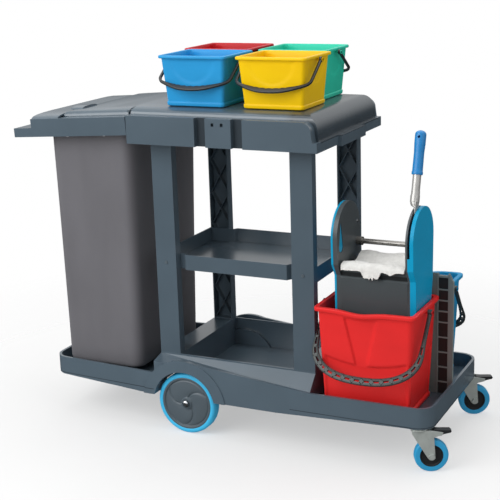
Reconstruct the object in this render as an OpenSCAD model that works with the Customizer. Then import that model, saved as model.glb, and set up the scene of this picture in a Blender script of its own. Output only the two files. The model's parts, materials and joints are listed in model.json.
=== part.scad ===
// Janitor cart: a moulded base on two large wheels and two braked casters, four posts,
// a shelf, a top deck with four small buckets, a waste bag under a hinged lid,
// and two mop buckets with a press wringer.
// Millimetres. X runs along the cart with the casters at +X, Y to the back, Z up from the floor.
// Most places are given from the middle of the top deck, and placed() moves the whole cart
// so that the middle of its length is at X = 0.

/* [Top deck] */
// Length of the top deck
deck_l = 620; // [600:2:640]
// Depth of the top deck
deck_w = 532; // [524:2:548]
// Height of the deck's top face above the floor
deck_z = 1034; // [1010:2:1060]
// Height of the hanging apron and deck together
apron_h = 107; // [96:1:116]
// Drop from the top face to the ledge over the apron
ledge_drop = 22; // [14:1:28]
// Width of that ledge
ledge_w = 32; // [24:1:38]
// Length of the rounded hood at the caster end
hood_l = 60; // [50:1:66]
// Height of the lip under the hood
lip_h = 28; // [22:1:34]
// Width of a recessed channel in the apron
channel_w = 36; // [28:1:42]
// Depth of a recessed channel
channel_d = 16; // [10:1:20]
// Distance between the two channels' middles
channel_gap = 120; // [100:2:150]
// Wall of the mouldings
wall = 4; // [3:0.5:5]
// Height of the pads under the deck that the posts stand against
pad_h = 6; // [5:0.5:10]

/* [Posts and shelf] */
// Width of a post along the cart
post_w = 70; // [60:1:76]
// Depth of a post
post_d = 30; // [26:1:34]
// Distance between the middles of the left and right posts
post_span = 462; // [452:2:470]
// How far the posts' outer faces stay inside the base's sides
post_inset = 54; // [50:1:58]
// Thickness of the crossed ribs in a post
rib_t = 4; // [3:0.5:6]
// Number of rib crosses in a post
rib_count = 7; // [5:1:9]
// Height of the shelf's rim above the floor
shelf_z = 570; // [520:2:620]
// Depth of the shelf tray
shelf_h = 48; // [36:1:60]
// How far the shelf's front and rear walls bow out between the posts
shelf_bow = 14; // [8:1:20]
// Screw head radius
screw_r = 5; // [4:0.5:6]

/* [Base] */
// Half depth of the base
base_hw = 254; // [250:1:260]
// How much each side of the base draws in towards its bag end
bag_taper = 22; // [16:1:28]
// Reach of the base from the deck's middle to the caster end
base_right = 642; // [636:1:650]
// Reach of the base from the deck's middle to the bag end
base_left = 664; // [656:1:672]
// Radius of the base's corners in plan
base_r = 52; // [44:1:58]
// Height of the base floor's underside above the ground
floor_z = 150; // [146:1:154]
// Thickness of the base floor
floor_t = 6; // [5:0.5:8]
// Lowest edge of the base's skirt at its ends
skirt_z = 136; // [134:1:140]
// Further drop of the skirt between the wheels
skirt_dip = 14; // [8:1:16]
// Rim height above the ground round the buckets
rim_z = 200; // [190:1:210]
// Height of the tub's rim and of the post feet
tub_z = 248; // [240:1:256]
// Wall of the base's rim
base_wall = 8; // [6:0.5:10]

/* [Large wheels] */
// Radius of a large wheel
wheel_r = 100; // [96:1:104]
// Width of a large wheel
wheel_w = 45; // [40:1:48]
// Place of the axle, towards the bag end from the deck's middle
wheel_x = 160; // [150:1:170]
// Thickness of the tyre
tyre_t = 15; // [12:1:18]
// Radius of the axle
axle_r = 8; // [6:0.5:10]
// Room between the wheel and its arch
arch_gap = 8; // [6:1:12]
// Width of the arch's raised lip
arch_lip = 38; // [30:1:44]
// Inset of the wheel's face from the base's side
wheel_inset = 12; // [8:1:16]

/* [Casters] */
// Radius of a caster wheel
caster_r = 50; // [46:1:52]
// Width of a caster's tread
caster_w = 26; // [22:1:28]
// Distance from the swivel axis to the wheel's axis
trail = 36; // [30:1:40]
// Heading of the trailing wheels
heading = 26; // [0:1:40]
// Place of the swivel axes along the cart, from the deck's middle
swivel_x = 600; // [592:1:604]
// How far the swivel axes stay inside the base's sides
swivel_inset = 24; // [18:1:34]
// Thickness of the fork's steel
fork_t = 3; // [2:0.5:4]
// Reach of the brake pedal from the swivel axis
pedal_l = 94; // [88:1:98]

/* [Bag, holder and lid] */
// Reach of the bag holder beyond the deck
holder_l = 413; // [400:1:425]
// Height of the holder's side arms
holder_h = 56; // [50:1:62]
// Width of a side arm
arm_w = 44; // [40:1:50]
// Droop of the holder towards its handle end
droop = 3.4; // [0:0.1:5]
// Length of the lower handle bar at the end
grip_l = 71; // [60:1:80]
// Height of that bar
grip_h = 28; // [22:1:34]
// Length of the lid
lid_l = 246; // [236:1:256]
// Height of the lid's edge
lid_h = 22; // [18:1:26]
// Length of the bag's mouth
bag_l = 293; // [280:1:300]
// Length of the bag at its bottom
bag_bottom_l = 277; // [262:1:290]
// Room between the bag's foot and the base's side walls
bag_room = 24; // [16:1:34]
// Height of the bag's bottom above the ground
bag_z = 178; // [172:1:190]
// Thickness of the bag's sheet
bag_t = 2.5; // [2:0.5:4]

/* [Small buckets] */
// Length of a small bucket's rim
small_l = 226; // [216:1:230]
// Depth of a small bucket's rim
small_w = 200; // [192:1:204]
// Height of a small bucket
small_h = 152; // [140:1:165]
// Draft of its walls from rim to bottom
small_draft = 17; // [12:1:22]
// Gap between the two buckets of a row
small_gap = 30; // [28:1:36]
// Gap between the front and rear rows
row_gap = 12; // [10:1:20]
// Shift of the rear row towards the bag end
row_shift = 26; // [0:1:32]
// Wall of a small bucket
small_wall = 2.5; // [2:0.5:4]

/* [Mop buckets] */
// Length of a mop bucket's rim
mop_l = 312; // [304:1:316]
// How far a mop bucket's rim stays inside the base's side
mop_side = 5; // [3:1:11]
// Height of a mop bucket's rim above the ground
mop_z = 470; // [450:1:490]
// Draft of its walls from rim to bottom
mop_draft = 21; // [18:1:24]
// Gap between the two mop buckets
mop_gap = 14; // [12:1:18]
// Place of the mop buckets' middle, from the deck's middle
mop_x = 437; // [435:1:440]
// Wall of a mop bucket
mop_wall = 3; // [2:0.5:4]
// Height of the divider between the mop buckets
divider_z = 535; // [500:1:550]
// Length of the divider
divider_l = 150; // [120:1:180]

/* [Wringer] */
// Outside length of the wringer, over its covers
wringer_l = 248; // [240:1:260]
// Height of the ears' tops above the ground
ear_z = 764; // [750:1:790]
// Radius of the ears' round tops
ear_r = 95; // [90:1:98]
// Thickness of an ear's inner plate
plate_t = 6; // [5:0.5:8]
// Room between an ear's plate and its cover
ear_gap = 7; // [6.5:0.5:10]
// Thickness of a cover
cover_t = 11; // [9:0.5:12]
// Lean of the lever at rest
lever_lean = 16; // [12:0.1:20]
// Offset of the lever's tube ahead of its pivot
lever_offset = 50; // [44:1:54]
// Reach of the lever from its pivot
lever_l = 324; // [310:1:345]
// Radius of the lever's tube
tube_r = 12; // [10:0.5:12.5]
// Length of the lever's grip
grip_len = 126; // [110:1:140]
// Module of the gears
gear_m = 4; // [3.5:0.25:4]
// Radius of the cross rod between the ears
rod_r = 8; // [6:0.5:9]

/* [Hidden] */
$fn = 64;

// Clearances: running fits, pieces that only stand beside each other, and pieces that rest
run = 0.05;
free = 0.3;
slack = 0.2;
// Steps in a corner arc, and steps in larger arcs
corner_n = 6;
arc_n = 20;

// Colours
body_c = "#52616e";
dark_c = "#45484c";
blue_c = "#1487c4";
steel_c = "#b9c0bc";

// Derived heights and half sizes
apron_z = deck_z - apron_h;
ledge_z = deck_z - ledge_drop;
deck_hl = deck_l / 2;
deck_hw = deck_w / 2;
plat_hw = deck_hw - ledge_w;
post_in = post_span / 2 - post_w / 2;
post_out = post_span / 2 + post_w / 2;
post_y = base_hw - post_inset;
base_top = floor_z + floor_t;
bag_end_hw = base_hw - bag_taper;
swivel_y = base_hw - swivel_inset;
bag_bottom_hw = bag_end_hw - base_wall - bag_room;
mop_w = base_hw - mop_side - mop_gap / 2;
arch_r = wheel_r + arch_gap;
arch_out = arch_r + arch_lip;
wheel_y = base_hw - wheel_inset;
well_y = wheel_y - wheel_w - arch_gap;

// Overall reach at both ends, for the middle of the length
pedal_tip = swivel_x + pedal_l * cos(heading) + pedal_hw() * sin(heading);
holder_tip = deck_hl + free + holder_l * cos(droop) + grip_h * sin(droop);
mid_shift = (holder_tip - pedal_tip) / 2;
function pedal_hw() = 11;

// Moves a piece from the deck's middle to the middle of the cart's length
module placed() translate([mid_shift, 0, 0]) children();

// A flat outline in X and Z, drawn out from y0 to y1
module xz(y0, y1) translate([0, y1, 0]) rotate([90, 0, 0]) linear_extrude(y1 - y0) children();

// A flat outline in Y and Z, drawn out from x0 to x1
module yz(x0, x1) translate([x0, 0, 0]) rotate([90, 0, 90]) linear_extrude(x1 - x0) children();

// A box between two corners
module box(a, b) translate(a) cube(b - a);

// Points on an arc, from angle a0 to a1
function arc(c, r, a0, a1, n = arc_n) =
    [for (i = [0 : n]) let (a = a0 + (a1 - a0) * i / n) [c.x + r * cos(a), c.y + r * sin(a)]];

// Outline of a rounded rectangle
function round_rect(x0, x1, y0, y1, r, n = corner_n) = concat(
    arc([x1 - r, y1 - r], r, 0, 90, n), arc([x0 + r, y1 - r], r, 90, 180, n),
    arc([x0 + r, y0 + r], r, 180, 270, n), arc([x1 - r, y0 + r], r, 270, 360, n));

// Cross-section of a crowned top in Y and Z: flat in the middle, rolled off towards both sides
function crown_half(hw, top) = [[hw, top - 20], [hw - 3, top - 14], [hw - 9, top - 9], [hw - 18, top - 5.5],
    [hw - 38, top - 2.5], [hw - 70, top - 0.8], [hw - 110, top]];
function crown(hw, top, low) = let (h = crown_half(hw, top)) concat([[-hw, low], [hw, low]], h,
    [for (i = [len(h) - 1 : -1 : 0]) [-h[i].x, h[i].y]]);

// A rounded rectangle as a level ring at height z
function ring(x0, x1, y0, y1, r, z) = [for (p = round_rect(x0, x1, y0, y1, r)) [p.x, p.y, z]];

// A closed skin through a stack of rings with equal counts of points
module loft(rings) {
    n = len(rings[0]);
    m = len(rings);
    first = [for (i = [0 : n - 1]) i];
    last = [for (i = [n - 1 : -1 : 0]) (m - 1) * n + i];
    sides = [for (k = [0 : m - 2]) for (i = [0 : n - 1])
        let (a = k * n + i, b = a + n, d = k * n + (i + 1) % n, c = d + n)
        each [[a, b, c], [a, c, d]]];
    polyhedron(points = [for (r = rings) each r], faces = concat([first], sides, [last]));
}

// Base

// Half depth of the base at a place along it
function base_half(x, inset) = x < -post_out
    ? base_hw - inset - (base_hw - bag_end_hw) * (-post_out - x) / (base_left - post_out)
    : base_hw - inset;

// Plan outline of the base, drawn in by an inset
function base_plan(inset) = let (
        r = base_r - inset,
        xr = base_right - inset,
        xl = -base_left + inset,
        yr = base_hw - inset,
        yl = bag_end_hw - inset)
    concat(
        arc([xr - r, yr - r], r, 0, 90, corner_n),
        [[-post_out, yr]],
        arc([xl + r, yl - r], r, 90, 180, corner_n),
        arc([xl + r, r - yl], r, 180, 270, corner_n),
        [[-post_out, -yr]],
        arc([xr - r, r - yr], r, 270, 360, corner_n));

// Side view of the rim and skirt: bag end low, swept up over the arch and down to the bucket end
function skirt_side() = concat(
    [[-base_left - 1, skirt_z], [-wheel_x - arch_out, skirt_z - skirt_dip],
     [wheel_x, skirt_z - skirt_dip], [swivel_x - 40, skirt_z], [base_right + 1, skirt_z],
     [base_right + 1, rim_z],
     [post_out, rim_z]],
    arc([-wheel_x, wheel_r], arch_out, 74, 140, corner_n),
    [[-wheel_x - arch_out + 4, rim_z - 6], [-base_left - 1, rim_z - 6]]);

// Sloped shoulder between the tub's wall and the skirt, on one side
module shoulder() {
    y0 = -base_hw + base_wall / 2;
    y1 = -post_y;
    left = [-post_out, wheel_r + arch_out - 8];
    right = [post_out, rim_z + 1];
    loft([for (e = [left, right]) [[e.x, y0, floor_z + 1], [e.x, y1 + 1, floor_z + 1],
        [e.x, y1 + 1, tub_z - 4], [e.x, y0, e.y - 6]]]);
}

module wheel_well(y0, y1, r) translate([-wheel_x, y1, wheel_r]) rotate([90, 0, 0])
    cylinder(r = r, h = y1 - y0);

module base_tray() color(body_c) difference() {
    union() {
        translate([0, 0, floor_z]) linear_extrude(floor_t) polygon(base_plan(base_wall / 2));
        intersection() {
            translate([0, 0, skirt_z - skirt_dip - 1]) linear_extrude(tub_z - skirt_z + skirt_dip + 1)
                difference() {
                    polygon(base_plan(0));
                    polygon(base_plan(base_wall));
                }
            xz(-base_hw - 1, base_hw + 1) polygon(skirt_side());
        }
        // Bosses for the casters' stems
        for (s = [-1, 1]) intersection() {
            translate([swivel_x, s * swivel_y, skirt_z]) cylinder(r = 30, h = floor_z - skirt_z + 1);
            translate([0, 0, skirt_z]) linear_extrude(floor_t + floor_z - skirt_z)
                polygon(base_plan(base_wall / 2));
        }
        // Feet under the posts, with the tub between them
        for (s = [-1, 1]) {
            box([min(s * post_in, s * post_out), -post_y, floor_z + 1],
                [max(s * post_in, s * post_out), post_y, tub_z]);
            box([-post_in - 1, min(s * post_y, s * (post_y - wall)), floor_z + 1],
                [post_in + 1, max(s * post_y, s * (post_y - wall)), tub_z]);
            mirror([0, s > 0 ? 1 : 0, 0]) {
                shoulder();
                wheel_well(-base_hw - 3, -base_hw + base_wall, arch_out);
                wheel_well(-base_hw, -well_y + wall, arch_r + wall);
            }
        }
    }
    // Stem bores, hollow feet, wheel wells, and the cut of the arch's lip at the skirt's lower edge
    for (s = [-1, 1]) {
        translate([swivel_x, s * swivel_y, skirt_z - 1]) cylinder(r = stem_r + run, h = floor_z - skirt_z + 1);
        box([min(s * (post_in + wall), s * (post_out - wall)), -post_y + wall, floor_z - 1],
            [max(s * (post_in + wall), s * (post_out - wall)), post_y - wall, tub_z - wall]);
        mirror([0, s > 0 ? 1 : 0, 0]) {
            wheel_well(-base_hw - 4, -well_y, arch_r);
            box([-wheel_x - arch_out - 1, -base_hw - 4, -arch_out],
                [-wheel_x + arch_out + 1, -well_y + wall + 1, skirt_z - skirt_dip]);
        }
    }
}

// Posts

// Crossed ribs over one post's height, in X and Z
module cross_ribs(z0, z1) {
    step = (z1 - z0) / rib_count;
    half = post_w / 2 - wall;
    for (i = [0 : rib_count - 1]) {
        z = z0 + i * step;
        for (s = [-1, 1])
            polygon([[-s * half, z], [-s * half, z + rib_t], [s * half, z + step],
                [s * half, z + step - rib_t]]);
    }
}

// A post that is open to the middle of the cart, with crossed ribs inside
module post() {
    z0 = tub_z;
    z1 = deck_z - wall - pad_h;
    difference() {
        box([-post_w / 2, -post_y, z0], [post_w / 2, -post_y + post_d, z1]);
        box([-post_w / 2 + wall, -post_y + wall, z0 + wall],
            [post_w / 2 - wall, -post_y + post_d + 1, z1 - wall]);
        screw_axis() cylinder(r = screw_r / 2 + slack, h = 2 * post_d, center = true);
    }
    xz(-post_y + wall - 0.5, -post_y + post_d - 8) difference() {
        cross_ribs(z0 + wall - 0.5, z1 - wall + 0.5);
        translate([0, screw_z()]) circle(r = screw_r + 3);
    }
    difference() {
        translate([0, -post_y + wall - 0.5, screw_z()]) rotate([-90, 0, 0])
            cylinder(r = screw_r + 4, h = post_d - wall + 0.5 - slack);
        screw_axis() cylinder(r = screw_r / 2 + slack, h = 3 * post_d, center = true);
    }
}

// Height of the shelf's screws, in the upper half of the shelf's wall
function screw_z() = shelf_z - shelf_h / 2;

module screw_axis() translate([0, -post_y, screw_z()]) rotate([90, 0, 0]) children();

// Puts a front post's shape at one of the four corners
module corner(sx, sy) translate([sx * post_span / 2, 0, 0]) mirror([0, sy > 0 ? 1 : 0, 0]) children();

module front_left_post() color(body_c) corner(-1, -1) post();
module front_right_post() color(body_c) corner(1, -1) post();
module rear_left_post() color(body_c) corner(-1, 1) post();
module rear_right_post() color(body_c) corner(1, 1) post();

// Screws through the posts into the shelf's end walls
module shelf_screws() color(steel_c) for (sx = [-1, 1], sy = [-1, 1]) corner(sx, sy) screw_axis() {
    cylinder(r = screw_r, h = 2);
    translate([0, 0, -post_d]) cylinder(r = screw_r / 2, h = post_d);
}

// Shelf

// Plan outline of the shelf, bowed out between the posts
function shelf_plan(inset) = let (
        x = post_out - inset,
        y = post_y - post_d - slack - inset,
        bow_x = post_in - 24 - inset,
        b = y + shelf_bow)
    [[-x, -y], [-bow_x - 8, -y], [-bow_x, -b], [bow_x, -b], [bow_x + 8, -y], [x, -y],
     [x, y], [bow_x + 8, y], [bow_x, b], [-bow_x, b], [-bow_x - 8, y], [-x, y]];

module shelf() color(body_c) translate([0, 0, shelf_z - shelf_h]) difference() {
    linear_extrude(shelf_h) polygon(shelf_plan(0));
    translate([0, 0, wall]) linear_extrude(shelf_h) polygon(shelf_plan(wall));
}

// Top deck

// Side view of the raised deck with its rounded hood, drawn in by an inset
function deck_side(inset) = let (
        top = deck_z - inset,
        x1 = deck_hl - inset,
        hood_x = deck_hl - hood_l,
        lip_top = apron_z + lip_h - inset,
        rx = hood_l - 8 - inset,
        rz = deck_z - apron_z - lip_h - 18)
    concat([[-deck_hl + inset, apron_z - 1], [x1, apron_z - 1], [x1, lip_top],
            [hood_x + rx, lip_top]],
        [for (i = [0 : corner_n]) let (a = 90 * i / corner_n)
            [hood_x + rx * cos(a), top - rz + rz * sin(a)]],
        [[-deck_hl + inset, top]]);

// Side view of the apron's front, with a rounded top corner at the caster end
function apron_side(inset) = let (r = 28 - inset, x1 = deck_hl - 18 - inset, top = ledge_z - inset)
    concat([[-deck_hl + inset, apron_z - 1], [deck_hl - inset, apron_z - 1],
            [deck_hl - inset, apron_z + lip_h - inset]],
        [[x1 + 4, apron_z + lip_h - inset]],
        arc([x1 - r, top - r], r, 0, 90, corner_n), [[-deck_hl + inset, top]]);

// Raised platform of the deck, drawn in by an inset
module platform(inset) intersection() {
    xz(-plat_hw + inset, plat_hw - inset) polygon(deck_side(inset));
    yz(-deck_l, deck_l) polygon(crown(plat_hw - inset, deck_z - inset, 0));
}

module top_deck() color(body_c) difference() {
    union() {
        difference() {
            union() {
                platform(0);
                xz(-deck_hw, deck_hw) polygon(apron_side(0));
                // Block in the middle of the lip
                box([deck_hl - wall - 1, -100, apron_z - 6], [deck_hl + 10, 100, apron_z + lip_h - 2]);
            }
            platform(wall);
            xz(-deck_hw + wall, deck_hw - wall) polygon(apron_side(wall));
            box([-deck_l, -deck_w, apron_z - apron_h], [deck_hl - wall, deck_w, apron_z]);
            box([deck_hl - wall - 2, -96, apron_z - 7], [deck_hl + 6, 96, apron_z + lip_h - 6]);
        }
        for (sx = [-1, 1], sy = [-1, 1]) corner(sx, sy)
            box([-post_w / 2, -post_y, deck_z - wall - pad_h], [post_w / 2, -post_y + post_d, deck_z - wall]);
        for (sx = [-1, 1], sy = [-1, 1]) {
            y0 = deck_hw - channel_d - wall;
            box([sx * channel_gap / 2 - channel_w / 2 - wall, min(sy * y0, sy * (deck_hw - 1)), apron_z],
                [sx * channel_gap / 2 + channel_w / 2 + wall, max(sy * y0, sy * (deck_hw - 1)),
                 ledge_z - 1]);
        }
    }
    for (sx = [-1, 1], sy = [-1, 1])
        box([sx * channel_gap / 2 - channel_w / 2, min(sy * (deck_hw - channel_d), sy * (deck_hw + 1)),
             apron_z - 1],
            [sx * channel_gap / 2 + channel_w / 2, max(sy * (deck_hw - channel_d), sy * (deck_hw + 1)),
             ledge_z + 1]);
    // Two small square holes in the middle panel
    for (x = [-22, 8]) box([x, -deck_hw - 1, ledge_z - 22], [x + 9, -deck_hw + wall + 1, ledge_z - 12]);
}

// Bag holder, lid and bag

holder_z = apron_z + 25;
holder_x = -deck_hl - free;

// Tilts what hangs on the holder about the foot of the deck's end
module drooped() translate([holder_x, 0, holder_z]) rotate([0, -droop, 0]) children();

arm_out = deck_hw;
arm_in = deck_hw - arm_w;
lip_drop = 22;
plate_top = holder_h + 12;

module bag_holder() color(body_c) drooped() {
    arm_l = holder_l - grip_l;
    // Side arms: an outer apron, a top and an inner lip
    for (s = [0, 1]) mirror([0, s, 0]) yz(-arm_l - wall, 0) polygon([
        [-arm_out, 0], [-arm_out + wall, 0], [-arm_out + wall, holder_h - wall],
        [-arm_in - wall, holder_h - wall], [-arm_in - wall, holder_h - lip_drop],
        [-arm_in, holder_h - lip_drop], [-arm_in, holder_h], [-arm_out, holder_h]]);
    // End bar that serves as a push handle, stepped down below the arms
    difference() {
        union() {
            box([-holder_l, -arm_out, 0], [-arm_l, arm_out, grip_h]);
            box([-arm_l - wall, -arm_out, 0], [-arm_l, arm_out, holder_h]);
        }
        box([-holder_l + wall, -arm_out + wall, -1], [-arm_l - wall, arm_out - wall, grip_h - wall]);
        box([-arm_l - wall - 1, -arm_in, -1], [-arm_l + 1, arm_in, holder_h - lip_drop]);
    }
    // Crowned top plate between the lid's free edge and the handle
    yz(-arm_l - wall, -lid_l - 1) difference() {
        polygon(crown(arm_out - 2, plate_top, holder_h - wall));
        polygon(crown(arm_out - 2 - wall, plate_top - wall, holder_h - 2 * wall));
    }
    yz(-arm_l - wall, -arm_l) polygon(crown(arm_out - 2, plate_top, holder_h - wall));
    // Bridge and end wall at the deck, which carry the lid's hinge
    box([-24, -arm_in, holder_h - wall], [0, arm_in, holder_h]);
    difference() {
        box([-wall, -arm_out, 0], [0, arm_out, holder_h]);
        box([-wall - 1, -arm_in, -1], [1, arm_in, holder_h - lip_drop]);
    }
}

// Pegs that hold the bag's hem against the inner lips
peg_z = 3;
peg_x = [-82, -217];

module bag_pegs() color("#d8dadc") drooped() for (x = peg_x, s = [0, 1]) mirror([0, s, 0])
    translate([x, -arm_out + wall, peg_z]) rotate([-90, 0, 0])
        cylinder(r = screw_r, h = arm_w - wall - free);

lid_hinge_r = 4;
lid_z = holder_h + lid_hinge_r + 7;
lid_hw = plat_hw - 8;

module lid_hinge_pin() color(steel_c) drooped() {
    translate([-10, lid_hw - 2, lid_z]) rotate([90, 0, 0])
        cylinder(r = lid_hinge_r, h = 2 * lid_hw - 4);
    for (y = [-lid_hw / 2, 0, lid_hw / 2])
        box([-10 - lid_hinge_r, y - 8, holder_h], [-10 + lid_hinge_r, y + 8, lid_z]);
}

// Side view of the lid: it falls slightly towards its free edge, which is rolled over
function lid_side(inset) = let (x0 = -lid_l + inset, top = lid_z + 10 - inset)
    concat([[x0, holder_h + free], [-10, holder_h + free], [-10, top]],
        [for (i = [1 : corner_n]) let (t = i / corner_n) [-10 + (x0 + 22) * t, top - 6 * t * t]],
        [[x0 + 4, top - 9], [x0, top - 15]]);

module lid_block(inset) intersection() {
    xz(-lid_hw + inset, lid_hw - inset) polygon(lid_side(inset));
    yz(-lid_l - 1, 0) polygon(crown(lid_hw - inset, lid_z + 11 - inset, holder_h - 1));
}

module bag_lid() color(body_c) drooped() difference() {
    union() {
        lid_block(0);
        // Finger grip on the free edge
        yz(-lid_l - 10, -lid_l + 34) polygon([[-168, 70], [-80, 70], [-84, 75], [-96, 78], [-124, 79],
            [-152, 78], [-164, 75]]);
    }
    intersection() {
        translate([0, 0, -1.3]) lid_block(wall);
        box([-lid_l, -lid_hw, holder_h - 2], [-10 - 3 * lid_hinge_r, lid_hw, lid_z + 20]);
    }
    translate([-10, lid_hw + 1, lid_z]) rotate([90, 0, 0])
        cylinder(r = lid_hinge_r + run, h = 2 * lid_hw + 2);
    for (y = [-lid_hw / 2, 0, lid_hw / 2])
        box([-12 - 3 * lid_hinge_r, y - 8 - free, holder_h - 1], [1, y + 8 + free, lid_z + 8]);
}

// The bag: an open shell, upright at the handle end and drawn in towards its bottom elsewhere
bag_top = holder_z + holder_h - lip_drop - 6;
bag_x = holder_x - 20;
bag_hw = arm_in - free - 0.4;

module waste_bag() color("#6e6d72") {
    r = 34;
    x0 = bag_x - bag_l;
    x1 = bag_x;
    b0 = x0;
    b1 = x0 + bag_bottom_l;
    t = bag_t;
    loft([
        ring(b0 + 12, b1 - 12, -bag_bottom_hw + 12, bag_bottom_hw - 12, r, bag_z),
        ring(b0, b1, -bag_bottom_hw, bag_bottom_hw, r, bag_z + 14),
        ring(x0, x1, -bag_hw, bag_hw, r, bag_top),
        ring(x0 + t, x1 - t, -bag_hw + t, bag_hw - t, r - t, bag_top),
        ring(b0 + t, b1 - t, -bag_bottom_hw + t, bag_bottom_hw - t, r - t, bag_z + 14 + t),
        ring(b0 + 12 + t, b1 - 12 - t, -bag_bottom_hw + 12 + t, bag_bottom_hw - 12 - t, r - t,
            bag_z + t)]);
}

// Large wheels

// Turns a shape drawn along Z so that its axis lies along Y at the axle
module on_axle(side) translate([-wheel_x, side * wheel_y, wheel_r]) rotate([-side * 90, 0, 0]) children();

hub_r = wheel_r - tyre_t;

// Measured inwards from the wheel's outer face
module tyre() rotate_extrude() polygon(concat(
    [[hub_r + run, -wheel_w + 5], [wheel_r - 8, -wheel_w + 5]],
    arc([wheel_r - 10, -wheel_w + 15], 10, 270, 360, corner_n),
    arc([wheel_r - 10, -10], 10, 0, 90, corner_n), [[hub_r + run, 0]]));

module hub() difference() {
    rotate_extrude() polygon([[axle_r + run, 0], [20, 0], [24, -6], [hub_r - 14, -6], [hub_r - 8, -2],
        [hub_r, -2], [hub_r, -wheel_w + 7], [hub_r - 8, -wheel_w + 7], [hub_r - 12, -14], [26, -14],
        [22, -wheel_w], [axle_r + run, -wheel_w]]);
    translate([0, 0, 1]) cylinder(r = 12, h = 4, center = true);
}

module right_tyre() color("#2aa5e0") on_axle(-1) tyre();
module right_hub() color("#55626b") on_axle(-1) hub();
module left_tyre() color("#2aa5e0") on_axle(1) tyre();
module left_hub() color("#55626b") on_axle(1) hub();

module axle() color(steel_c) translate([-wheel_x, wheel_y + 4, wheel_r]) rotate([90, 0, 0])
    cylinder(r = axle_r, h = 2 * wheel_y + 8);

// Brackets under the floor that carry the axle
module axle_brackets() color(body_c) for (s = [-1, 1]) {
    y = s * (well_y - 30);
    difference() {
        xz(y - 6, y + 6) polygon([[-wheel_x - 30, floor_z], [-wheel_x - 18, wheel_r - 18],
            [-wheel_x + 18, wheel_r - 18], [-wheel_x + 30, floor_z]]);
        translate([-wheel_x, y, wheel_r]) rotate([90, 0, 0])
            cylinder(r = axle_r + run, h = 20, center = true);
    }
}

// Domed caps on the axle's ends
module axle_caps() color(steel_c) for (s = [-1, 1]) on_axle(s) difference() {
    union() {
        translate([0, 0, free]) cylinder(r = axle_r + 2.5, h = 6);
        translate([0, 0, free + 6]) cylinder(r1 = axle_r + 2.5, r2 = axle_r - 2, h = 3);
    }
    translate([0, 0, -1]) cylinder(r = axle_r + run, h = 5);
}

// Casters

crown_z = skirt_z - 14;
stem_r = 6;
bolt_r = 5;
fork_in = caster_w / 2 + 2;
pedal_pin_x = 16;

// Puts a caster's shape, drawn with its trail along X, under the base
module caster(side) translate([swivel_x, side * swivel_y, 0]) rotate([0, 0, heading]) children();

// Fixed stems in the base's corner bosses, each with a washer on which the fork turns
module caster_stems() color(steel_c) for (s = [-1, 1]) caster(s) {
    translate([0, 0, crown_z + 12]) cylinder(r = 20, h = skirt_z - crown_z - 12);
    translate([0, 0, crown_z - 8]) cylinder(r = stem_r, h = floor_z - crown_z + 8);
    translate([0, 0, crown_z - 8]) cylinder(r = stem_r + 3, h = 5 - free);
}

// Side view of a fork leg: a wide crown that narrows towards the wheel's bolt
function leg_side() = concat([[-22, crown_z + 8], [-22, crown_z], [trail - 11, caster_r - 6]],
    arc([trail, caster_r], 12, 210, 330, corner_n), [[trail + 6, crown_z - 12],
    [trail + 30, crown_z - 6], [trail + 32, crown_z + 2], [trail, crown_z + 8]]);

module fork() difference() {
    union() {
        for (s = [0, 1]) mirror([0, s, 0]) xz(-fork_in - fork_t, -fork_in) polygon(leg_side());
        box([-22, -fork_in - 0.5, crown_z + 8 - fork_t], [trail - 6, fork_in + 0.5, crown_z + 8]);
        translate([0, 0, crown_z + 8]) cylinder(r = 24, h = 4 - free);
    }
    translate([0, 0, crown_z - 30]) cylinder(r = stem_r + run, h = 60);
    translate([trail, 0, caster_r]) rotate([90, 0, 0]) cylinder(r = bolt_r + run, h = 80, center = true);
    pedal_axis() cylinder(r = 3 + run, h = 80, center = true);
}

module pedal_axis() translate([pedal_pin_x + trail, 0, crown_z - 1]) rotate([90, 0, 0]) children();

module caster_bolt() {
    grip = fork_in + fork_t;
    translate([trail, grip + 5, caster_r]) rotate([90, 0, 0]) cylinder(r = bolt_r, h = 2 * grip + 10);
    for (s = [-1, 1]) translate([trail, s * (grip + 3), caster_r]) rotate([90, 0, 0])
        cylinder(r = bolt_r + 4, h = 6 - 2 * slack, center = true, $fn = 6);
    pedal_axis() cylinder(r = 3, h = 2 * grip, center = true);
}

tread_in = caster_r - 16;

module caster_tread() translate([trail, 0, caster_r]) rotate([90, 0, 0]) rotate_extrude() polygon(concat(
    [[tread_in + run, -caster_w / 2]],
    arc([caster_r - 6, -caster_w / 2 + 6], 6, 270, 360, corner_n),
    arc([caster_r - 6, caster_w / 2 - 6], 6, 0, 90, corner_n), [[tread_in + run, caster_w / 2]]));

module caster_hub() translate([trail, 0, caster_r]) rotate([90, 0, 0]) rotate_extrude() polygon([
    [bolt_r + run, -fork_in + free], [12, -fork_in + free], [14, -8], [tread_in - 6, -8],
    [tread_in - 3, -caster_w / 2 + 1], [tread_in, -caster_w / 2 + 1], [tread_in, caster_w / 2 - 1],
    [tread_in - 3, caster_w / 2 - 1], [tread_in - 6, 8], [14, 8], [12, fork_in - free],
    [bolt_r + run, fork_in - free]]);

// Brake pedal: a shoe over the tread and a tread plate beyond the wheel
module pedal() difference() {
    xz(-pedal_hw(), pedal_hw()) polygon([[trail + 4, crown_z - 6], [trail + 10, crown_z - 9],
        [trail + 28, crown_z - 10], [trail + 34, crown_z - 6], [pedal_l - 4, crown_z - 2],
        [pedal_l, crown_z + 2], [pedal_l - 4, crown_z + 6], [trail + 6, crown_z + 7]]);
    pedal_axis() cylinder(r = 3 + run, h = 80, center = true);
}

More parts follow.
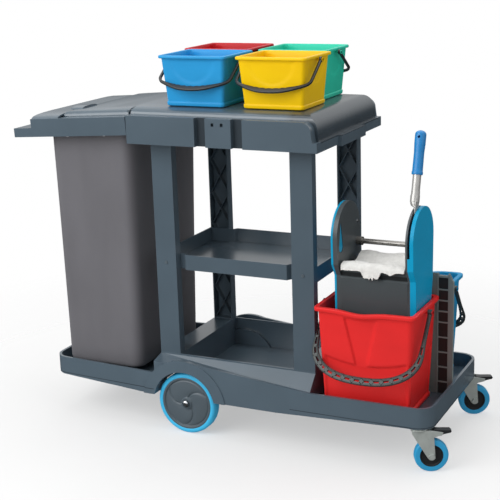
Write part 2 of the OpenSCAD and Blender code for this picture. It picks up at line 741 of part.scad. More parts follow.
module right_fork() color(steel_c) caster(-1) fork();
module left_fork() color(steel_c) caster(1) fork();
module right_caster_bolt() color(steel_c) caster(-1) caster_bolt();
module left_caster_bolt() color(steel_c) caster(1) caster_bolt();
module right_caster_tread() color("#1e96c8") caster(-1) caster_tread();
module left_caster_tread() color("#1e96c8") caster(1) caster_tread();
module right_caster_hub() color("#2c2f33") caster(-1) caster_hub();
module left_caster_hub() color("#2c2f33") caster(1) caster_hub();
module right_pedal() color("#202224") caster(-1) pedal();
module left_pedal() color("#202224") caster(1) pedal();

// Buckets and bails

// A bucket about its rim's middle, from z0 to z1, with a rolled rim of width lip and pins for a bail
module bucket(l, w, z0, z1, draft, t, lip, r, pin_z, pin_y, pin_out, pin_r) {
    hl = l / 2;
    hw = w / 2;
    d = draft;
    loft([
        ring(-hl + d + 6, hl - d - 6, -hw + d + 6, hw - d - 6, r - 4, z0),
        ring(-hl + d, hl - d, -hw + d, hw - d, r, z0 + 6),
        ring(-hl + lip, hl - lip, -hw + lip, hw - lip, r, z1 - 9),
        ring(-hl, hl, -hw, hw, r + lip / 2, z1 - 9),
        ring(-hl, hl, -hw, hw, r + lip / 2, z1 - 2),
        ring(-hl + 2, hl - 2, -hw + 2, hw - 2, r + lip / 2, z1),
        ring(-hl + lip + t, hl - lip - t, -hw + lip + t, hw - lip - t, r - t, z1),
        ring(-hl + d + t, hl - d - t, -hw + d + t, hw - d - t, r - t, z0 + 6 + t),
        ring(-hl + d + 6 + t, hl - d - 6 - t, -hw + d + 6 + t, hw - d - 6 - t, r - 4 - t, z0 + t)]);
    // Bail pins, each with a head that keeps the bail on
    for (s = [-1, 1]) translate([s * (hl - lip - t + 1), pin_y, pin_z]) rotate([0, s * 90, 0]) {
        pin_l = lip + t - 1 + pin_out;
        cylinder(r = pin_r, h = pin_l);
        translate([0, 0, pin_l - 2]) cylinder(r = pin_r + 2, h = 2);
    }
}

// Half loop of a bail in its own plane: u across, v away from the pins.
// Straight arms up to the corners, then a cross bar that bows out by its own sag.
function bail_path(half, reach, sag, r, n = 20) = let (
        turn = 66,
        e = half - r + r * cos(turn),
        v1 = reach - sag,
        vc = v1 + sag * (1 - pow(e / half, 2)) - r * sin(turn))
    concat([[-half, 0], [-half, vc * 0.5]],
        [for (i = [0 : corner_n]) let (a = 180 - turn * i / corner_n)
            [-half + r + r * cos(a), vc + r * sin(a)]],
        [for (i = [1 : n - 1]) let (u = e * (2 * i / n - 1)) [u, v1 + sag * (1 - pow(u / half, 2))]],
        [for (i = [corner_n : -1 : 0]) let (a = 180 - turn * i / corner_n)
            [half - r - r * cos(a), vc + r * sin(a)]],
        [[half, vc * 0.5], [half, 0]]);

// A loop for the mop buckets: straight arms, then one full bow
function loop_path(half, reach, arm, p, n = 24) = concat([[-half, 0], [-half, arm * 0.5]],
    [for (i = [0 : n]) let (t = 180 - 180 * i / n)
        [half * sign(cos(t)) * pow(abs(cos(t)), 2 / p), arm + (reach - arm) * pow(abs(sin(t)), 2 / p)]],
    [[half, arm * 0.5], [half, 0]]);

// A flat bar that follows a path in X and Z, t across its plane.
// It is h deep at the ends, which are half off the middle, and h_mid deep in the middle.
module ribbon(path, half, h, h_mid, t) {
    n = len(path);
    loft([for (i = [0 : n - 1]) let (
            a = path[max(i - 1, 0)],
            b = path[min(i + 1, n - 1)],
            d = (b - a) / norm(b - a),
            p = path[i],
            m = [-d.y, d.x] * (h + (h_mid - h) * (1 - pow(p.x / half, 4))) / 2)
        [[p.x - m.x, -t / 2, p.y - m.y], [p.x - m.x, t / 2, p.y - m.y],
         [p.x + m.x, t / 2, p.y + m.y], [p.x + m.x, -t / 2, p.y + m.y]]]);
}

// A bail hung from pins at height z: turned about X from straight up by an angle
module bail(path, half, h, h_mid, t, pin_r, z, angle) translate([0, 0, z]) rotate([angle, 0, 0]) {
    difference() {
        union() {
            translate([0, 0, pin_r + 1]) ribbon(path, half, h, h_mid, t);
            for (s = [-1, 1]) translate([s * half - h / 2, 0, 0]) rotate([0, 90, 0])
                cylinder(r = pin_r + 4, h = h);
        }
        translate([-half - h, 0, 0]) rotate([0, 90, 0]) cylinder(r = pin_r + run, h = 2 * half + 2 * h);
    }
}

small_pin_r = 4;
small_bail_h = 8;
small_bail_mid = 13;
small_bail_t = 7;
small_bail_half = small_l / 2 + small_bail_h / 2 + 1;
small_pin_z = deck_z + small_h - 14;
small_pin_out = small_bail_h + 1 + free + 2;
small_x = (small_l + small_gap) / 2;
small_y = (small_w + row_gap) / 2;
small_bail_reach = 136;
small_hang = 126;

module small_at(sx, sy) translate([15 + sx * small_x - (sy > 0 ? row_shift : 0), sy * small_y, 0])
    mirror([0, sy > 0 ? 1 : 0, 0]) children();

module small_bucket() bucket(small_l, small_w, deck_z, deck_z + small_h, small_draft, small_wall, 7, 13,
    small_pin_z, 0, small_pin_out, small_pin_r);

module small_bail() bail(bail_path(small_bail_half, small_bail_reach - small_pin_r - 1, 32, 26),
    small_bail_half, small_bail_h, small_bail_mid, small_bail_t, small_pin_r, small_pin_z, small_hang);

module blue_bucket() color("#3ba0dc") small_at(-1, -1) small_bucket();
module blue_bail() color(dark_c) small_at(-1, -1) small_bail();
module yellow_bucket() color("#f6c500") small_at(1, -1) small_bucket();
module yellow_bail() color(dark_c) small_at(1, -1) small_bail();
module red_bucket() color("#c41e2a") small_at(-1, 1) small_bucket();
module red_bail() color(dark_c) small_at(-1, 1) small_bail();
module green_bucket() color("#2dbba0") small_at(1, 1) small_bucket();
module green_bail() color(dark_c) small_at(1, 1) small_bail();

mop_pin_r = 5;
mop_bail_h = 12;
mop_bail_mid = 17;
mop_bail_t = 10;
mop_bail_half = mop_l / 2 + mop_bail_h / 2 + 0.6;
mop_pin_z = mop_z - 18;
mop_pin_out = mop_bail_h + 0.6 + free + 2;
mop_y = (mop_w + mop_gap) / 2;
mop_bail_reach = 238;
mop_bail_arm = 118;
mop_hang = 142;

module mop_at(sy) translate([mop_x, sy * mop_y, 0]) mirror([0, sy > 0 ? 1 : 0, 0]) children();

module mop_bucket() bucket(mop_l, mop_w, base_top, mop_z, mop_draft, mop_wall, 9, 18, mop_pin_z, 0,
    mop_pin_out, mop_pin_r);

module mop_bail() bail(loop_path(mop_bail_half, mop_bail_reach - mop_pin_r - 1, mop_bail_arm, 2.4),
    mop_bail_half, mop_bail_h, mop_bail_mid, mop_bail_t, mop_pin_r, mop_pin_z, mop_hang);

module red_mop_bucket() color("#e63535") mop_at(-1) mop_bucket();
module red_mop_bail() color(dark_c) mop_at(-1) mop_bail();
module blue_mop_bucket() color("#0f7fbf") mop_at(1) mop_bucket();
module blue_mop_bail() color(dark_c) mop_at(1) mop_bail();

// Divider between the mop buckets: a plate, a column of pockets and a flat end strip
module bucket_divider() color("#5b6064") {
    x1 = base_right - base_wall - 2;
    x0 = x1 - divider_l;
    t = mop_gap / 2 - 2;
    col0 = x1 - 46;
    col1 = x1 - 16;
    xz(-t / 2, t / 2) polygon([[x0, base_top], [col0, base_top], [col0, divider_z], [x0, divider_z]]);
    xz(-1, 1) polygon([[col0 - 1, base_top], [col1 + 1, base_top], [col1 + 1, divider_z - 8],
        [col0 - 1, divider_z - 8]]);
    xz(-t, t) polygon([[col1, base_top], [x1, base_top], [x1, divider_z - 24], [col1 + 3, divider_z],
        [col1, divider_z]]);
    box([col0 - 4, -t, base_top], [col0, t, divider_z]);
    box([col0 - 1, -t, divider_z - 12], [col1 + 1, t, divider_z - 6]);
    // Rungs: wide pockets below, closer ones above
    lower = (divider_z - base_top) / 8;
    for (i = [0 : 4]) box([col0 - 1, -t, base_top + lower * (i + 0.8) - 2],
        [col1 + 1, t, base_top + lower * (i + 0.8) + 2]);
    for (i = [1 : 3]) box([col0 - 1, -t, base_top + lower * (4.8 + 0.72 * i) - 2],
        [col1 + 1, t, base_top + lower * (4.8 + 0.72 * i) + 2]);
}

// Wringer

wr_x1 = mop_x + mop_l / 2 - 16;
wr_x0 = wr_x1 - wringer_l;
cov_r0 = wr_x1 - cover_t;
pl_r1 = cov_r0 - ear_gap;
pl_r0 = pl_r1 - plate_t;
cov_l1 = wr_x0 + cover_t;
pl_l0 = cov_l1 + ear_gap / 3;
pl_l1 = pl_l0 + plate_t;
ear_y = -mop_y + 4;
ear_cz = ear_z - ear_r;
wr_z0 = mop_z - 40;
front_y = ear_y - ear_r;
back_y = ear_y + ear_r;
gate_z = mop_z + 118;
cover_skin = 3;
boss_r = 6;
shank_r = 2;
shank_l = 8;

// Outline of an ear in Y and Z, drawn in by an inset
function ear_side(inset) = let (r = ear_r - inset, lo = wr_z0 + inset)
    concat([[front_y + 30 + inset, lo], [front_y + 27 + inset, mop_z + 88],
            [front_y + 3 + inset, mop_z + 124]],
        [for (p = arc([ear_y, ear_cz], r, 180, 0)) p],
        [[back_y - 4 - inset, mop_z + 60], [back_y - 24 - inset, lo]]);

// Gear centres: the lever's pivot, and the press shaft below and behind it
pinion_n = 12;
sector_n = 36;
pivot = [ear_y - 8, ear_cz - 18];
gear_dist = gear_m * (pinion_n + sector_n) / 2;
mesh_a = -52;
press = [pivot.x + gear_dist * cos(mesh_a), pivot.y + gear_dist * sin(mesh_a)];
shaft_r = 7;
pin_r = 8;
gear_t = ear_gap - 1;
gear_x = pl_r1 + 0.5;
rod = [back_y - 26, ear_cz - 40];

module along_x(p, x) translate([x, p.x, p.y]) rotate([90, 0, 90]) children();

// Slot in the left plate, pointed at its top
module plate_slot() {
    c = [front_y + 33, ear_cz - 29];
    polygon(concat(arc(c, 16, 180, 360, corner_n), [[c.x + 2, c.y + 74], [c.x - 2, c.y + 74]]));
}

module wringer_frame() color(dark_c) difference() {
    union() {
        yz(pl_r0, pl_r1) polygon(ear_side(0));
        yz(pl_l0, pl_l1) difference() {
            polygon(ear_side(0));
            plate_slot();
        }
        // Rear wall and the flange that hangs over the bucket's rim
        yz(pl_l1 - 0.5, pl_r0 + 0.5) polygon([[back_y - 24, wr_z0 + 4], [back_y - 18, wr_z0 + 4],
            [back_y - 8, mop_z], [mop_y_in() , mop_z], [mop_y_in(), mop_z + 4], [back_y - 9, mop_z + 4],
            [back_y - 9, mop_z + 62], [back_y - 15, mop_z + 62], [back_y - 15, mop_z]]);
        // Floor of the basket, with bars
        for (i = [0 : 5]) {
            y = front_y + 36 + i * 20;
            yz(pl_l1 - 0.5, pl_r0 + 0.5) polygon([[y, wr_z0], [y + 9, wr_z0], [y + 9, wr_z0 + 5],
                [y, wr_z0 + 5]]);
        }
        box([(pl_l1 + pl_r0) / 2 - 4, front_y + 36, wr_z0], [(pl_l1 + pl_r0) / 2 + 4, back_y - 20, wr_z0 + 5]);
        along_x(press, pl_l0 - 2) cylinder(r = shaft_r + 5, h = 3);
    }
    along_x(press, wr_x0) cylinder(r = shaft_r + run, h = wringer_l);
    along_x(pivot, pl_r0 - 1) cylinder(r = pin_r + run, h = plate_t + 2);
    along_x(rod, wr_x0) cylinder(r = rod_r / 2 + 1 + run, h = wringer_l);
    for (p = cover_bosses()) along_x(p, wr_x0) cylinder(r = shank_r + slack, h = wringer_l);
}

// Rear edge of the flange, just short of the middle of the rim
function mop_y_in() = -mop_gap / 2 - 2;

// Front gate: a plate with a rolled top, a groove below it and a main panel
module front_gate() color("#4b4e53") yz(pl_l1 + slack, pl_r0 - slack) polygon([
    [front_y + 31, wr_z0 + 6], [front_y + 24, gate_z - 36], [front_y + 30, gate_z - 30],
    [front_y + 30, gate_z - 14], [front_y + 22, gate_z - 8], [front_y + 20, gate_z - 3],
    [front_y + 23, gate_z], [front_y + 30, gate_z], [front_y + 35, gate_z - 6],
    [front_y + 35, wr_z0 + 6]]);

// Covers over the ears, each a dished plate with a rim towards its plate
module cover_plate(depth) difference() {
    linear_extrude(depth) polygon(ear_side(0));
    translate([0, 0, cover_skin]) linear_extrude(depth) polygon(ear_side(4));
}

module right_cover() color(blue_c) {
    translate([wr_x1, 0, 0]) rotate([90, 0, 90]) mirror([0, 0, 1]) cover_plate(cover_t);
    // Rim across the lower and rear edges, which closes the housing where the lever doesn't sweep
    yz(pl_r1, cov_r0) difference() {
        polygon(ear_side(0));
        polygon(ear_side(4));
        translate([front_y - 20, pivot.y - 20]) square([2 * ear_r - 10, ear_z]);
    }
    for (p = cover_bosses()) along_x(p, pl_r1) difference() {
        cylinder(r = boss_r, h = wr_x1 - pl_r1 - 1);
        translate([0, 0, -1]) cylinder(r = shank_r + slack, h = shank_l + 1 + slack);
    }
}

module left_cover() color(blue_c) {
    translate([wr_x0, 0, 0]) rotate([90, 0, 90]) cover_plate(cover_t);
    yz(cov_l1, pl_l0) difference() {
        polygon(ear_side(0));
        polygon(ear_side(4));
    }
    for (p = cover_bosses()) along_x(p, wr_x0 + 1) difference() {
        cylinder(r = boss_r, h = pl_l0 - wr_x0 - 1);
        translate([0, 0, pl_l0 - wr_x0 - 1 - shank_l - slack]) cylinder(r = shank_r + slack, h = shank_l + 1);
    }
}

// Places of the screws that hold the covers
function cover_bosses() = [[ear_y + 70, ear_cz + 20], [ear_y + 48, mop_z + 20], [ear_y - 40, mop_z - 14]];

module cover_screws() color(steel_c) for (p = cover_bosses()) {
    along_x(p, pl_r0 - 2) cylinder(r = screw_r, h = 2);
    along_x(p, pl_r0 - 1) cylinder(r = shank_r, h = plate_t + shank_l + 1);
    along_x(p, pl_l1) cylinder(r = screw_r, h = 2);
    along_x(p, pl_l0 - shank_l) cylinder(r = shank_r, h = plate_t + shank_l + 1);
}

// Cross rod between the ears, with a collar at its left end
module cross_rod() color(steel_c) {
    along_x(rod, pl_l1) cylinder(r = rod_r, h = pl_r0 - pl_l1);
    along_x(rod, pl_l1) cylinder(r = rod_r + 5, h = 18);
    along_x(rod, pl_l0 - 1) cylinder(r = rod_r / 2 + 1, h = pl_r1 - pl_l0 + 2);
}

module lever_pin() color(steel_c) {
    along_x(pivot, pl_r0 - 5) cylinder(r = pin_r, h = wr_x1 - cover_skin - pl_r0 + 5);
    along_x(pivot, pl_r0 - 5) cylinder(r = pin_r + 4, h = 5);
}

// Gear outline with involute flanks: n teeth in a full turn, teeth first to last drawn
pressure = 25;
backlash = 0.35;
function inv(a) = tan(a) * 180 / PI - a;
function root_r(n) = gear_m * (n / 2 - 1.2);
function flank_r(n, k) = let (r = gear_m * n / 2, lo = max(r * cos(pressure), root_r(n) + 0.4))
    lo + (r + gear_m - 0.2 - lo) * k / 5;
function flank_a(n, k) = let (r = gear_m * n / 2, rb = r * cos(pressure), q = flank_r(n, k))
    90 / n - backlash / r * 90 / PI + inv(pressure) - inv(acos(min(1, rb / q)));
function gear_tooth(n, a) = let (root = root_r(n), c = flank_a(n, 0)) concat(
    [[root * cos(a - c), root * sin(a - c)]],
    [for (k = [0 : 5]) let (q = flank_r(n, k), b = a - flank_a(n, k)) [q * cos(b), q * sin(b)]],
    [for (k = [5 : -1 : 0]) let (q = flank_r(n, k), b = a + flank_a(n, k)) [q * cos(b), q * sin(b)]],
    [[root * cos(a + c), root * sin(a + c)]]);
function gear_outline(n, first, last, a0) = [for (i = [first : last]) each gear_tooth(n, a0 + 360 * i / n)];

// Everything on the lever turns about the pivot, drawn here with the tube upright ahead of it
module on_lever() translate([0, pivot.x, pivot.y]) rotate([-lever_lean, 0, 0]) children();

tube_x = gear_x + gear_t / 2 - 5.5;
hang_r = 4;
hang_drop = 20;
// The tube's socket turns clear of the ear's round top
sock_r = tube_r + 1.5;
sock_z = sqrt(pow(ear_r + sock_r + 2 + norm(pivot - [ear_y, ear_cz]), 2) - pow(lever_offset, 2));
tube_end = lever_l - hang_drop - 3 * hang_r;

module lever_hub() color(dark_c) difference() {
    union() {
        along_x(pivot, gear_x) linear_extrude(gear_t) polygon(gear_outline(pinion_n, 0, pinion_n - 1, mesh_a));
        along_x(pivot, gear_x + gear_t - 0.5)
            cylinder(r = 20, h = wr_x1 - cover_skin - free - gear_x - gear_t + 0.5);
        on_lever() {
            yz(gear_x, gear_x + gear_t) polygon([[-9, -6], [9, -6], [9, 10],
                [tube_r - lever_offset, sock_z], [tube_r - lever_offset, sock_z + 16],
                [-tube_r - lever_offset, sock_z + 16], [-tube_r - lever_offset, sock_z - 8]]);
            translate([tube_x, -lever_offset, sock_z]) cylinder(r = sock_r, h = 20);
        }
    }
    along_x(pivot, pl_r0) cylinder(r = pin_r + run, h = wringer_l);
    on_lever() translate([tube_x, -lever_offset, sock_z + 3]) cylinder(r = tube_r + run, h = 60);
}

module lever_tube() color(steel_c) on_lever() translate([tube_x, -lever_offset, 0]) difference() {
    translate([0, 0, sock_z + 3 + slack]) cylinder(r = tube_r, h = tube_end - sock_z - 3 - slack);
    translate([0, 0, sock_z]) cylinder(r = tube_r - 2, h = lever_l);
}

// Grip with a rounded end, a hole to hang it by and a ring at its foot
module lever_grip() color("#3a85d0") on_lever() translate([tube_x, -lever_offset, 0]) difference() {
    r = tube_r + 4;
    z0 = lever_l - grip_len;
    z1 = lever_l - r * 0.75;
    rotate_extrude() polygon(concat([[0, z0], [r - 0.5, z0], [r, z0 + 2], [r, z0 + 8], [r - 1, z0 + 10],
            [r - 1.4, z0 + grip_len / 2], [r, z1 - 26], [r, z1]],
        [for (i = [1 : corner_n]) let (a = 90 * i / corner_n) [r * cos(a), z1 + r * 0.75 * sin(a)]]));
    translate([0, 0, z0 - 1]) cylinder(r = tube_r + run, h = tube_end - z0 + 1);
    translate([0, 0, lever_l - hang_drop]) rotate([90, 0, 0]) cylinder(r = hang_r, h = 60, center = true);
}

module press_shaft() color(steel_c) along_x(press, pl_l0 - 6)
    cylinder(r = shaft_r, h = gear_x + gear_t + 4 - pl_l0 + 6);

// Sector gear on the press shaft, a gap between teeth towards the pinion at rest
module press_gear() color(dark_c) along_x(press, gear_x) difference() {
    union() {
        linear_extrude(gear_t) polygon(concat([[0, 0]],
            gear_outline(sector_n, -1, 4, 180 + mesh_a + 180 / sector_n)));
        cylinder(r = shaft_r + 6, h = gear_t);
    }
    translate([0, 0, -1]) cylinder(r = shaft_r + run, h = gear_t + 2);
}

// Press plate that hangs from the shaft and swings towards the gate
module press_plate() color(dark_c) difference() {
    union() {
        yz(pl_l1 + 3, pl_r0 - 3) polygon([[press.x - 3, press.y], [press.x + 3, press.y],
            [press.x + 9, wr_z0 + 14], [press.x + 3, wr_z0 + 14]]);
        along_x(press, pl_l1 + 3) cylinder(r = shaft_r + 5, h = pl_r0 - pl_l1 - 6);
    }
    along_x(press, wr_x0) cylinder(r = shaft_r + run, h = wringer_l);
}

// Mop cloth that lies over the press tube and the gate, and hangs down in front of the gate
cloth_t = 10;
cloth_nx = 26;
cloth_nv = 16;
cloth_x0 = pl_l1 + 5;
cloth_x1 = pl_r0 - 5;
cloth_y0 = press.x + shaft_r + 3;
cloth_y1 = front_y + 19;
cloth_z = gate_z + 1.4;

// Depth of the cloth's tufts in front of the gate, along its width
function tuft(u) = 16 + 16 * exp(-pow((u - 0.32) / 0.13, 2)) + 6 * sin(u * 1300);

// Lower face of the cloth, from its back edge over the gate to its front edge
function cloth_low(u, v) = v < 0.8
    ? let (t = v / 0.8) [cloth_y0 + (cloth_y1 - cloth_y0) * t,
        cloth_z + 0.8 * sin(180 * t) * (1 + 0.4 * sin(u * 1000))
            - 22 * pow(sin(180 * min(1, max(0, (t - 0.18) / 0.66))), 2) * (0.8 + 0.2 * sin(u * 800))]
    : let (t = (v - 0.8) / 0.2) [cloth_y1 - 1 - 2 * t, cloth_z - tuft(u) * t];

// Upper face, with folds that run from back to front
function cloth_high(u, v) = let (
        p = cloth_low(u, v),
        fold = 4 * sin(u * 1100 + v * 260) + 3 * sin(u * 1900 - v * 400),
        t = max(0, (v - 0.75) / 0.25))
    [p.x - cloth_t * min(1, 1.4 * t) - 0.35 * fold * t, p.y + (cloth_t + fold) * (1 - 0.8 * t)];

module mop_cloth() color("#f4f3f0") loft([for (i = [0 : cloth_nx]) let (u = i / cloth_nx,
        x = cloth_x0 + (cloth_x1 - cloth_x0) * u)
    concat([for (k = [cloth_nv : -1 : 0]) let (p = cloth_low(u, k / cloth_nv)) [x, p.x, p.y]],
        [for (k = [0 : cloth_nv]) let (p = cloth_high(u, k / cloth_nv)) [x, p.x, p.y]])]);

placed() base_tray();
placed() front_left_post();
placed() front_right_post();
placed() rear_left_post();
placed() rear_right_post();
placed() shelf();
placed() shelf_screws();
placed() top_deck();
placed() bag_holder();
placed() bag_pegs();
placed() waste_bag();
placed() lid_hinge_pin();
placed() bucket_divider();
placed() axle();
placed() axle_brackets();
placed() axle_caps();
placed() caster_stems();
placed() right_tyre();
placed() right_hub();
placed() left_tyre();
placed() left_hub();
placed() right_fork();
placed() left_fork();
placed() right_caster_bolt();
placed() left_caster_bolt();
placed() right_caster_tread();
placed() left_caster_tread();
placed() right_caster_hub();
placed() left_caster_hub();
placed() right_pedal();
placed() left_pedal();
placed() bag_lid();
placed() blue_bucket();
placed() blue_bail();
placed() yellow_bucket();
placed() yellow_bail();
placed() red_bucket();
placed() red_bail();
placed() green_bucket();
placed() green_bail();
placed() red_mop_bucket();
placed() red_mop_bail();
placed() blue_mop_bucket();
placed() blue_mop_bail();
placed() wringer_frame();
placed() front_gate();
placed() right_cover();
placed() left_cover();
placed() cover_screws();
placed() cross_rod();
placed() lever_pin();
placed() lever_hub();
placed() lever_tube();
placed() lever_grip();
placed() press_shaft();
placed() press_gear();
placed() press_plate();
placed() mop_cloth();
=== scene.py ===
"""Janitor cart: moulded shells, buckets, bails, wheels, bag and cloth on the cart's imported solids, with its stage."""

import json
import math

import bmesh
import bpy
from bpy.props import FloatProperty, FloatVectorProperty, PointerProperty
from mathutils import Matrix, Vector, noise

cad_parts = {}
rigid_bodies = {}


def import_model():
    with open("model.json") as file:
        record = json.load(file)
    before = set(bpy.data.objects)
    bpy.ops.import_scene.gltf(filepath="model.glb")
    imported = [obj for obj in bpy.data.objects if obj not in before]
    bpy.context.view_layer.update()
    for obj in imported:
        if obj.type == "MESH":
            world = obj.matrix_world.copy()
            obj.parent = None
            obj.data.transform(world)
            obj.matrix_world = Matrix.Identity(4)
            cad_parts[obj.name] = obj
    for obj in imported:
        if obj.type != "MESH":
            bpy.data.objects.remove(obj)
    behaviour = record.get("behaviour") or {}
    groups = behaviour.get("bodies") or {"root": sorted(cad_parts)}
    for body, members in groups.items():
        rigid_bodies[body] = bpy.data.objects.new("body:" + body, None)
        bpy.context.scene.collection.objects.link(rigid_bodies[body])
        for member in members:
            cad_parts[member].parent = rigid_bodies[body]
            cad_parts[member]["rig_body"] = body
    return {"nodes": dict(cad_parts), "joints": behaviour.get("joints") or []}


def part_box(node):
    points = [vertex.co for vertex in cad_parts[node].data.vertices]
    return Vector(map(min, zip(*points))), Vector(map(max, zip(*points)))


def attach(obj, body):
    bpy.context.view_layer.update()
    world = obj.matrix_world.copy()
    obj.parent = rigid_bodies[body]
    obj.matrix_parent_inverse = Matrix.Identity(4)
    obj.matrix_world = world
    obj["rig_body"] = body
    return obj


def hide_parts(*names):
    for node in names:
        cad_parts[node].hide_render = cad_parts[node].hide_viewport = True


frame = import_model()

bl_info = {
    "name": "Janitor Cart",
    "version": (1, 0, 0),
    "blender": (4, 5, 0),
    "location": "View3D > Sidebar > Cart",
    "description": "Dresses the packed solids of a janitor cart with its finishes, buckets, bag and cloth",
    "category": "Add Mesh",
}

NODES = frame["nodes"]
JOINTS = {joint["name"]: joint for joint in frame["joints"]}
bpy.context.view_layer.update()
SMALL = ("blue", "yellow", "red", "green")
FRONT = ("blue", "yellow")
MOP = (("red", -1.0), ("blue", 1.0))

# Buckets by their rim, draft, wall, lip and corner, with the cuts along, across and up the wall
SMALL_PAIL = {
    "long": 0.226, "wide": 0.2, "draft": 0.017, "wall": 0.0025, "lip": 0.007, "radius": 0.0098, "cuts": (36, 30, 40),
}
MOP_PAIL = {
    "long": 0.312, "wide": 0.242, "draft": 0.021, "wall": 0.003, "lip": 0.0095, "radius": 0.0135, "cuts": (90, 50, 84),
}

# Bail pins, the bails' lines, their eyes and how far they hang, and their straps
SMALL_PINS = {"half": 0.113, "out": 0.0113, "radius": 0.004, "thin": 0.0085}
MOP_PINS = {"half": 0.156, "out": 0.0149, "radius": 0.005, "thin": 0.011}
SMALL_BAIL = {"half": 0.118, "reach": 0.131, "sag": 0.032, "radius": 0.026}
MOP_BAIL = {"half": 0.1626, "reach": 0.227, "arm": 0.118, "power": 2.4}
SMALL_HANG = {"half": SMALL_BAIL["half"], "lift": 0.005, "eye": 0.008, "long": 0.006, "angle": 126.0}
MOP_HANG = {"half": MOP_BAIL["half"], "lift": 0.006, "eye": 0.009, "long": 0.012, "angle": 142.0}
SMALL_STRAP, MOP_STRAP = 0.0075, 0.0085
STRAP_START, STRAP_ROUND = 0.012, 0.3
WINDOW_RUNS, PLAIN_RUNS = 8, 21

# Sections of a large wheel as (radius, height), with the outer face up
TYRE_LINE = (
    (0.0851, -0.0175), (0.0915, -0.0175), (0.0955, -0.0163), (0.0985, -0.0133), (0.1, -0.0085), (0.1, 0.0),
    (0.1, 0.0125), (0.0992, 0.0165), (0.0968, 0.0199), (0.0933, 0.0219), (0.089, 0.0224), (0.0851, 0.0205),
    (0.0851, -0.0175),
)
HUB_LINE = (
    (0.0081, -0.0225), (0.022, -0.0225), (0.026, 0.0085), (0.073, 0.0085), (0.077, -0.0155), (0.085, -0.0155),
    (0.085, 0.0205), (0.0835, 0.0212), (0.0795, 0.0212), (0.0785, 0.0205), (0.077, 0.0172), (0.0755, 0.0165),
    (0.0745, 0.0168), *((0.073 - 0.003 * i, 0.0172 + 0.0022 * math.sin(math.pi * i / 17)) for i in range(18)),
    (0.0195, 0.0182), (0.0175, 0.021), (0.0165, 0.0222), (0.0125, 0.0222), (0.012, 0.0205), (0.0081, 0.0205),
    (0.0081, -0.0225),
)


# Sizes and colours


def srgb(code):
    """A colour written as six hex digits, as linear red, green and blue."""
    parts = [int(code[i:i + 2], 16) / 255 for i in (0, 2, 4)]
    return tuple(c / 12.92 if c <= 0.04045 else ((c + 0.055) / 1.055) ** 2.4 for c in parts)


def tone(name, description, code):
    return FloatVectorProperty(
        name=name, description=description, subtype="COLOR", size=3, min=0.0, max=1.0, default=srgb(code)
    )


def length(name, description, metres):
    return FloatProperty(
        name=name, description=description, default=metres, min=0.0, unit="LENGTH", subtype="DISTANCE", precision=4
    )


class CartColours(bpy.types.PropertyGroup):
    """Colours of the cart's finishes."""

    body: tone("Body", "Base, posts, shelf, deck, holder and lid", "52616C")
    bag: tone("Bag", "Coated cloth of the waste bag", "6A696E")
    tyre: tone("Tyres", "Solid tyres of the large wheels", "3CC2F4")
    hub: tone("Hubs", "Hubs of the large wheels", "525E66")
    tread: tone("Treads", "Treads of the casters", "28A6DC")
    blue: tone("Blue bucket", "Small blue bucket", "2C9EDC")
    yellow: tone("Yellow bucket", "Small yellow bucket", "FFCE00")
    red: tone("Red bucket", "Small red bucket", "C41822")
    green: tone("Green bucket", "Small green bucket", "2CD2B2")
    mop_red: tone("Red mop bucket", "Mop bucket under the wringer", "F02E2E")
    mop_blue: tone("Blue mop bucket", "Mop bucket at the back", "1698CE")
    bail: tone("Small bails", "Bails of the small buckets", "26292C")
    mop_bail: tone("Mop bails", "Bails of the mop buckets", "343C3C")
    wringer: tone("Wringer", "Plates and gate of the wringer", "4B5255")
    cover: tone("Wringer covers", "Covers on the wringer's ears", "08A0CE")
    grip: tone("Grip", "Grip of the wringer's lever", "1C84C8")
    divider: tone("Divider", "Divider between the mop buckets", "7E8A88")
    cloth: tone("Mop cloth", "Cotton of the mop", "F4F3EF")


class CartSizes(bpy.types.PropertyGroup):
    """Sizes of the moulded detail and the cloth."""

    edge: length("Edge radius", "Rounding of the moulded edges", 0.0022)
    grain: length("Grain", "Pitch of the moulded grain", 0.0011)
    weave: length("Weave", "Pitch of the bag's weave", 0.0016)
    bag_fold: length("Bag folds", "Depth of the folds in the bag", 0.004)
    bag_cloth: length("Bag cloth", "Thickness of the bag's coated cloth", 0.0016)
    bail: length("Small bails", "Width of the small buckets' bails in the middle", 0.018)
    mop_bail: length("Mop bails", "Width of the mop buckets' bails in the middle", 0.024)
    cloth: length("Mop cloth", "Thickness of the mop cloth", 0.005)


def colours():
    return bpy.context.scene.janitor_cart_colours


def sizes():
    return bpy.context.scene.janitor_cart_sizes


# Finishes


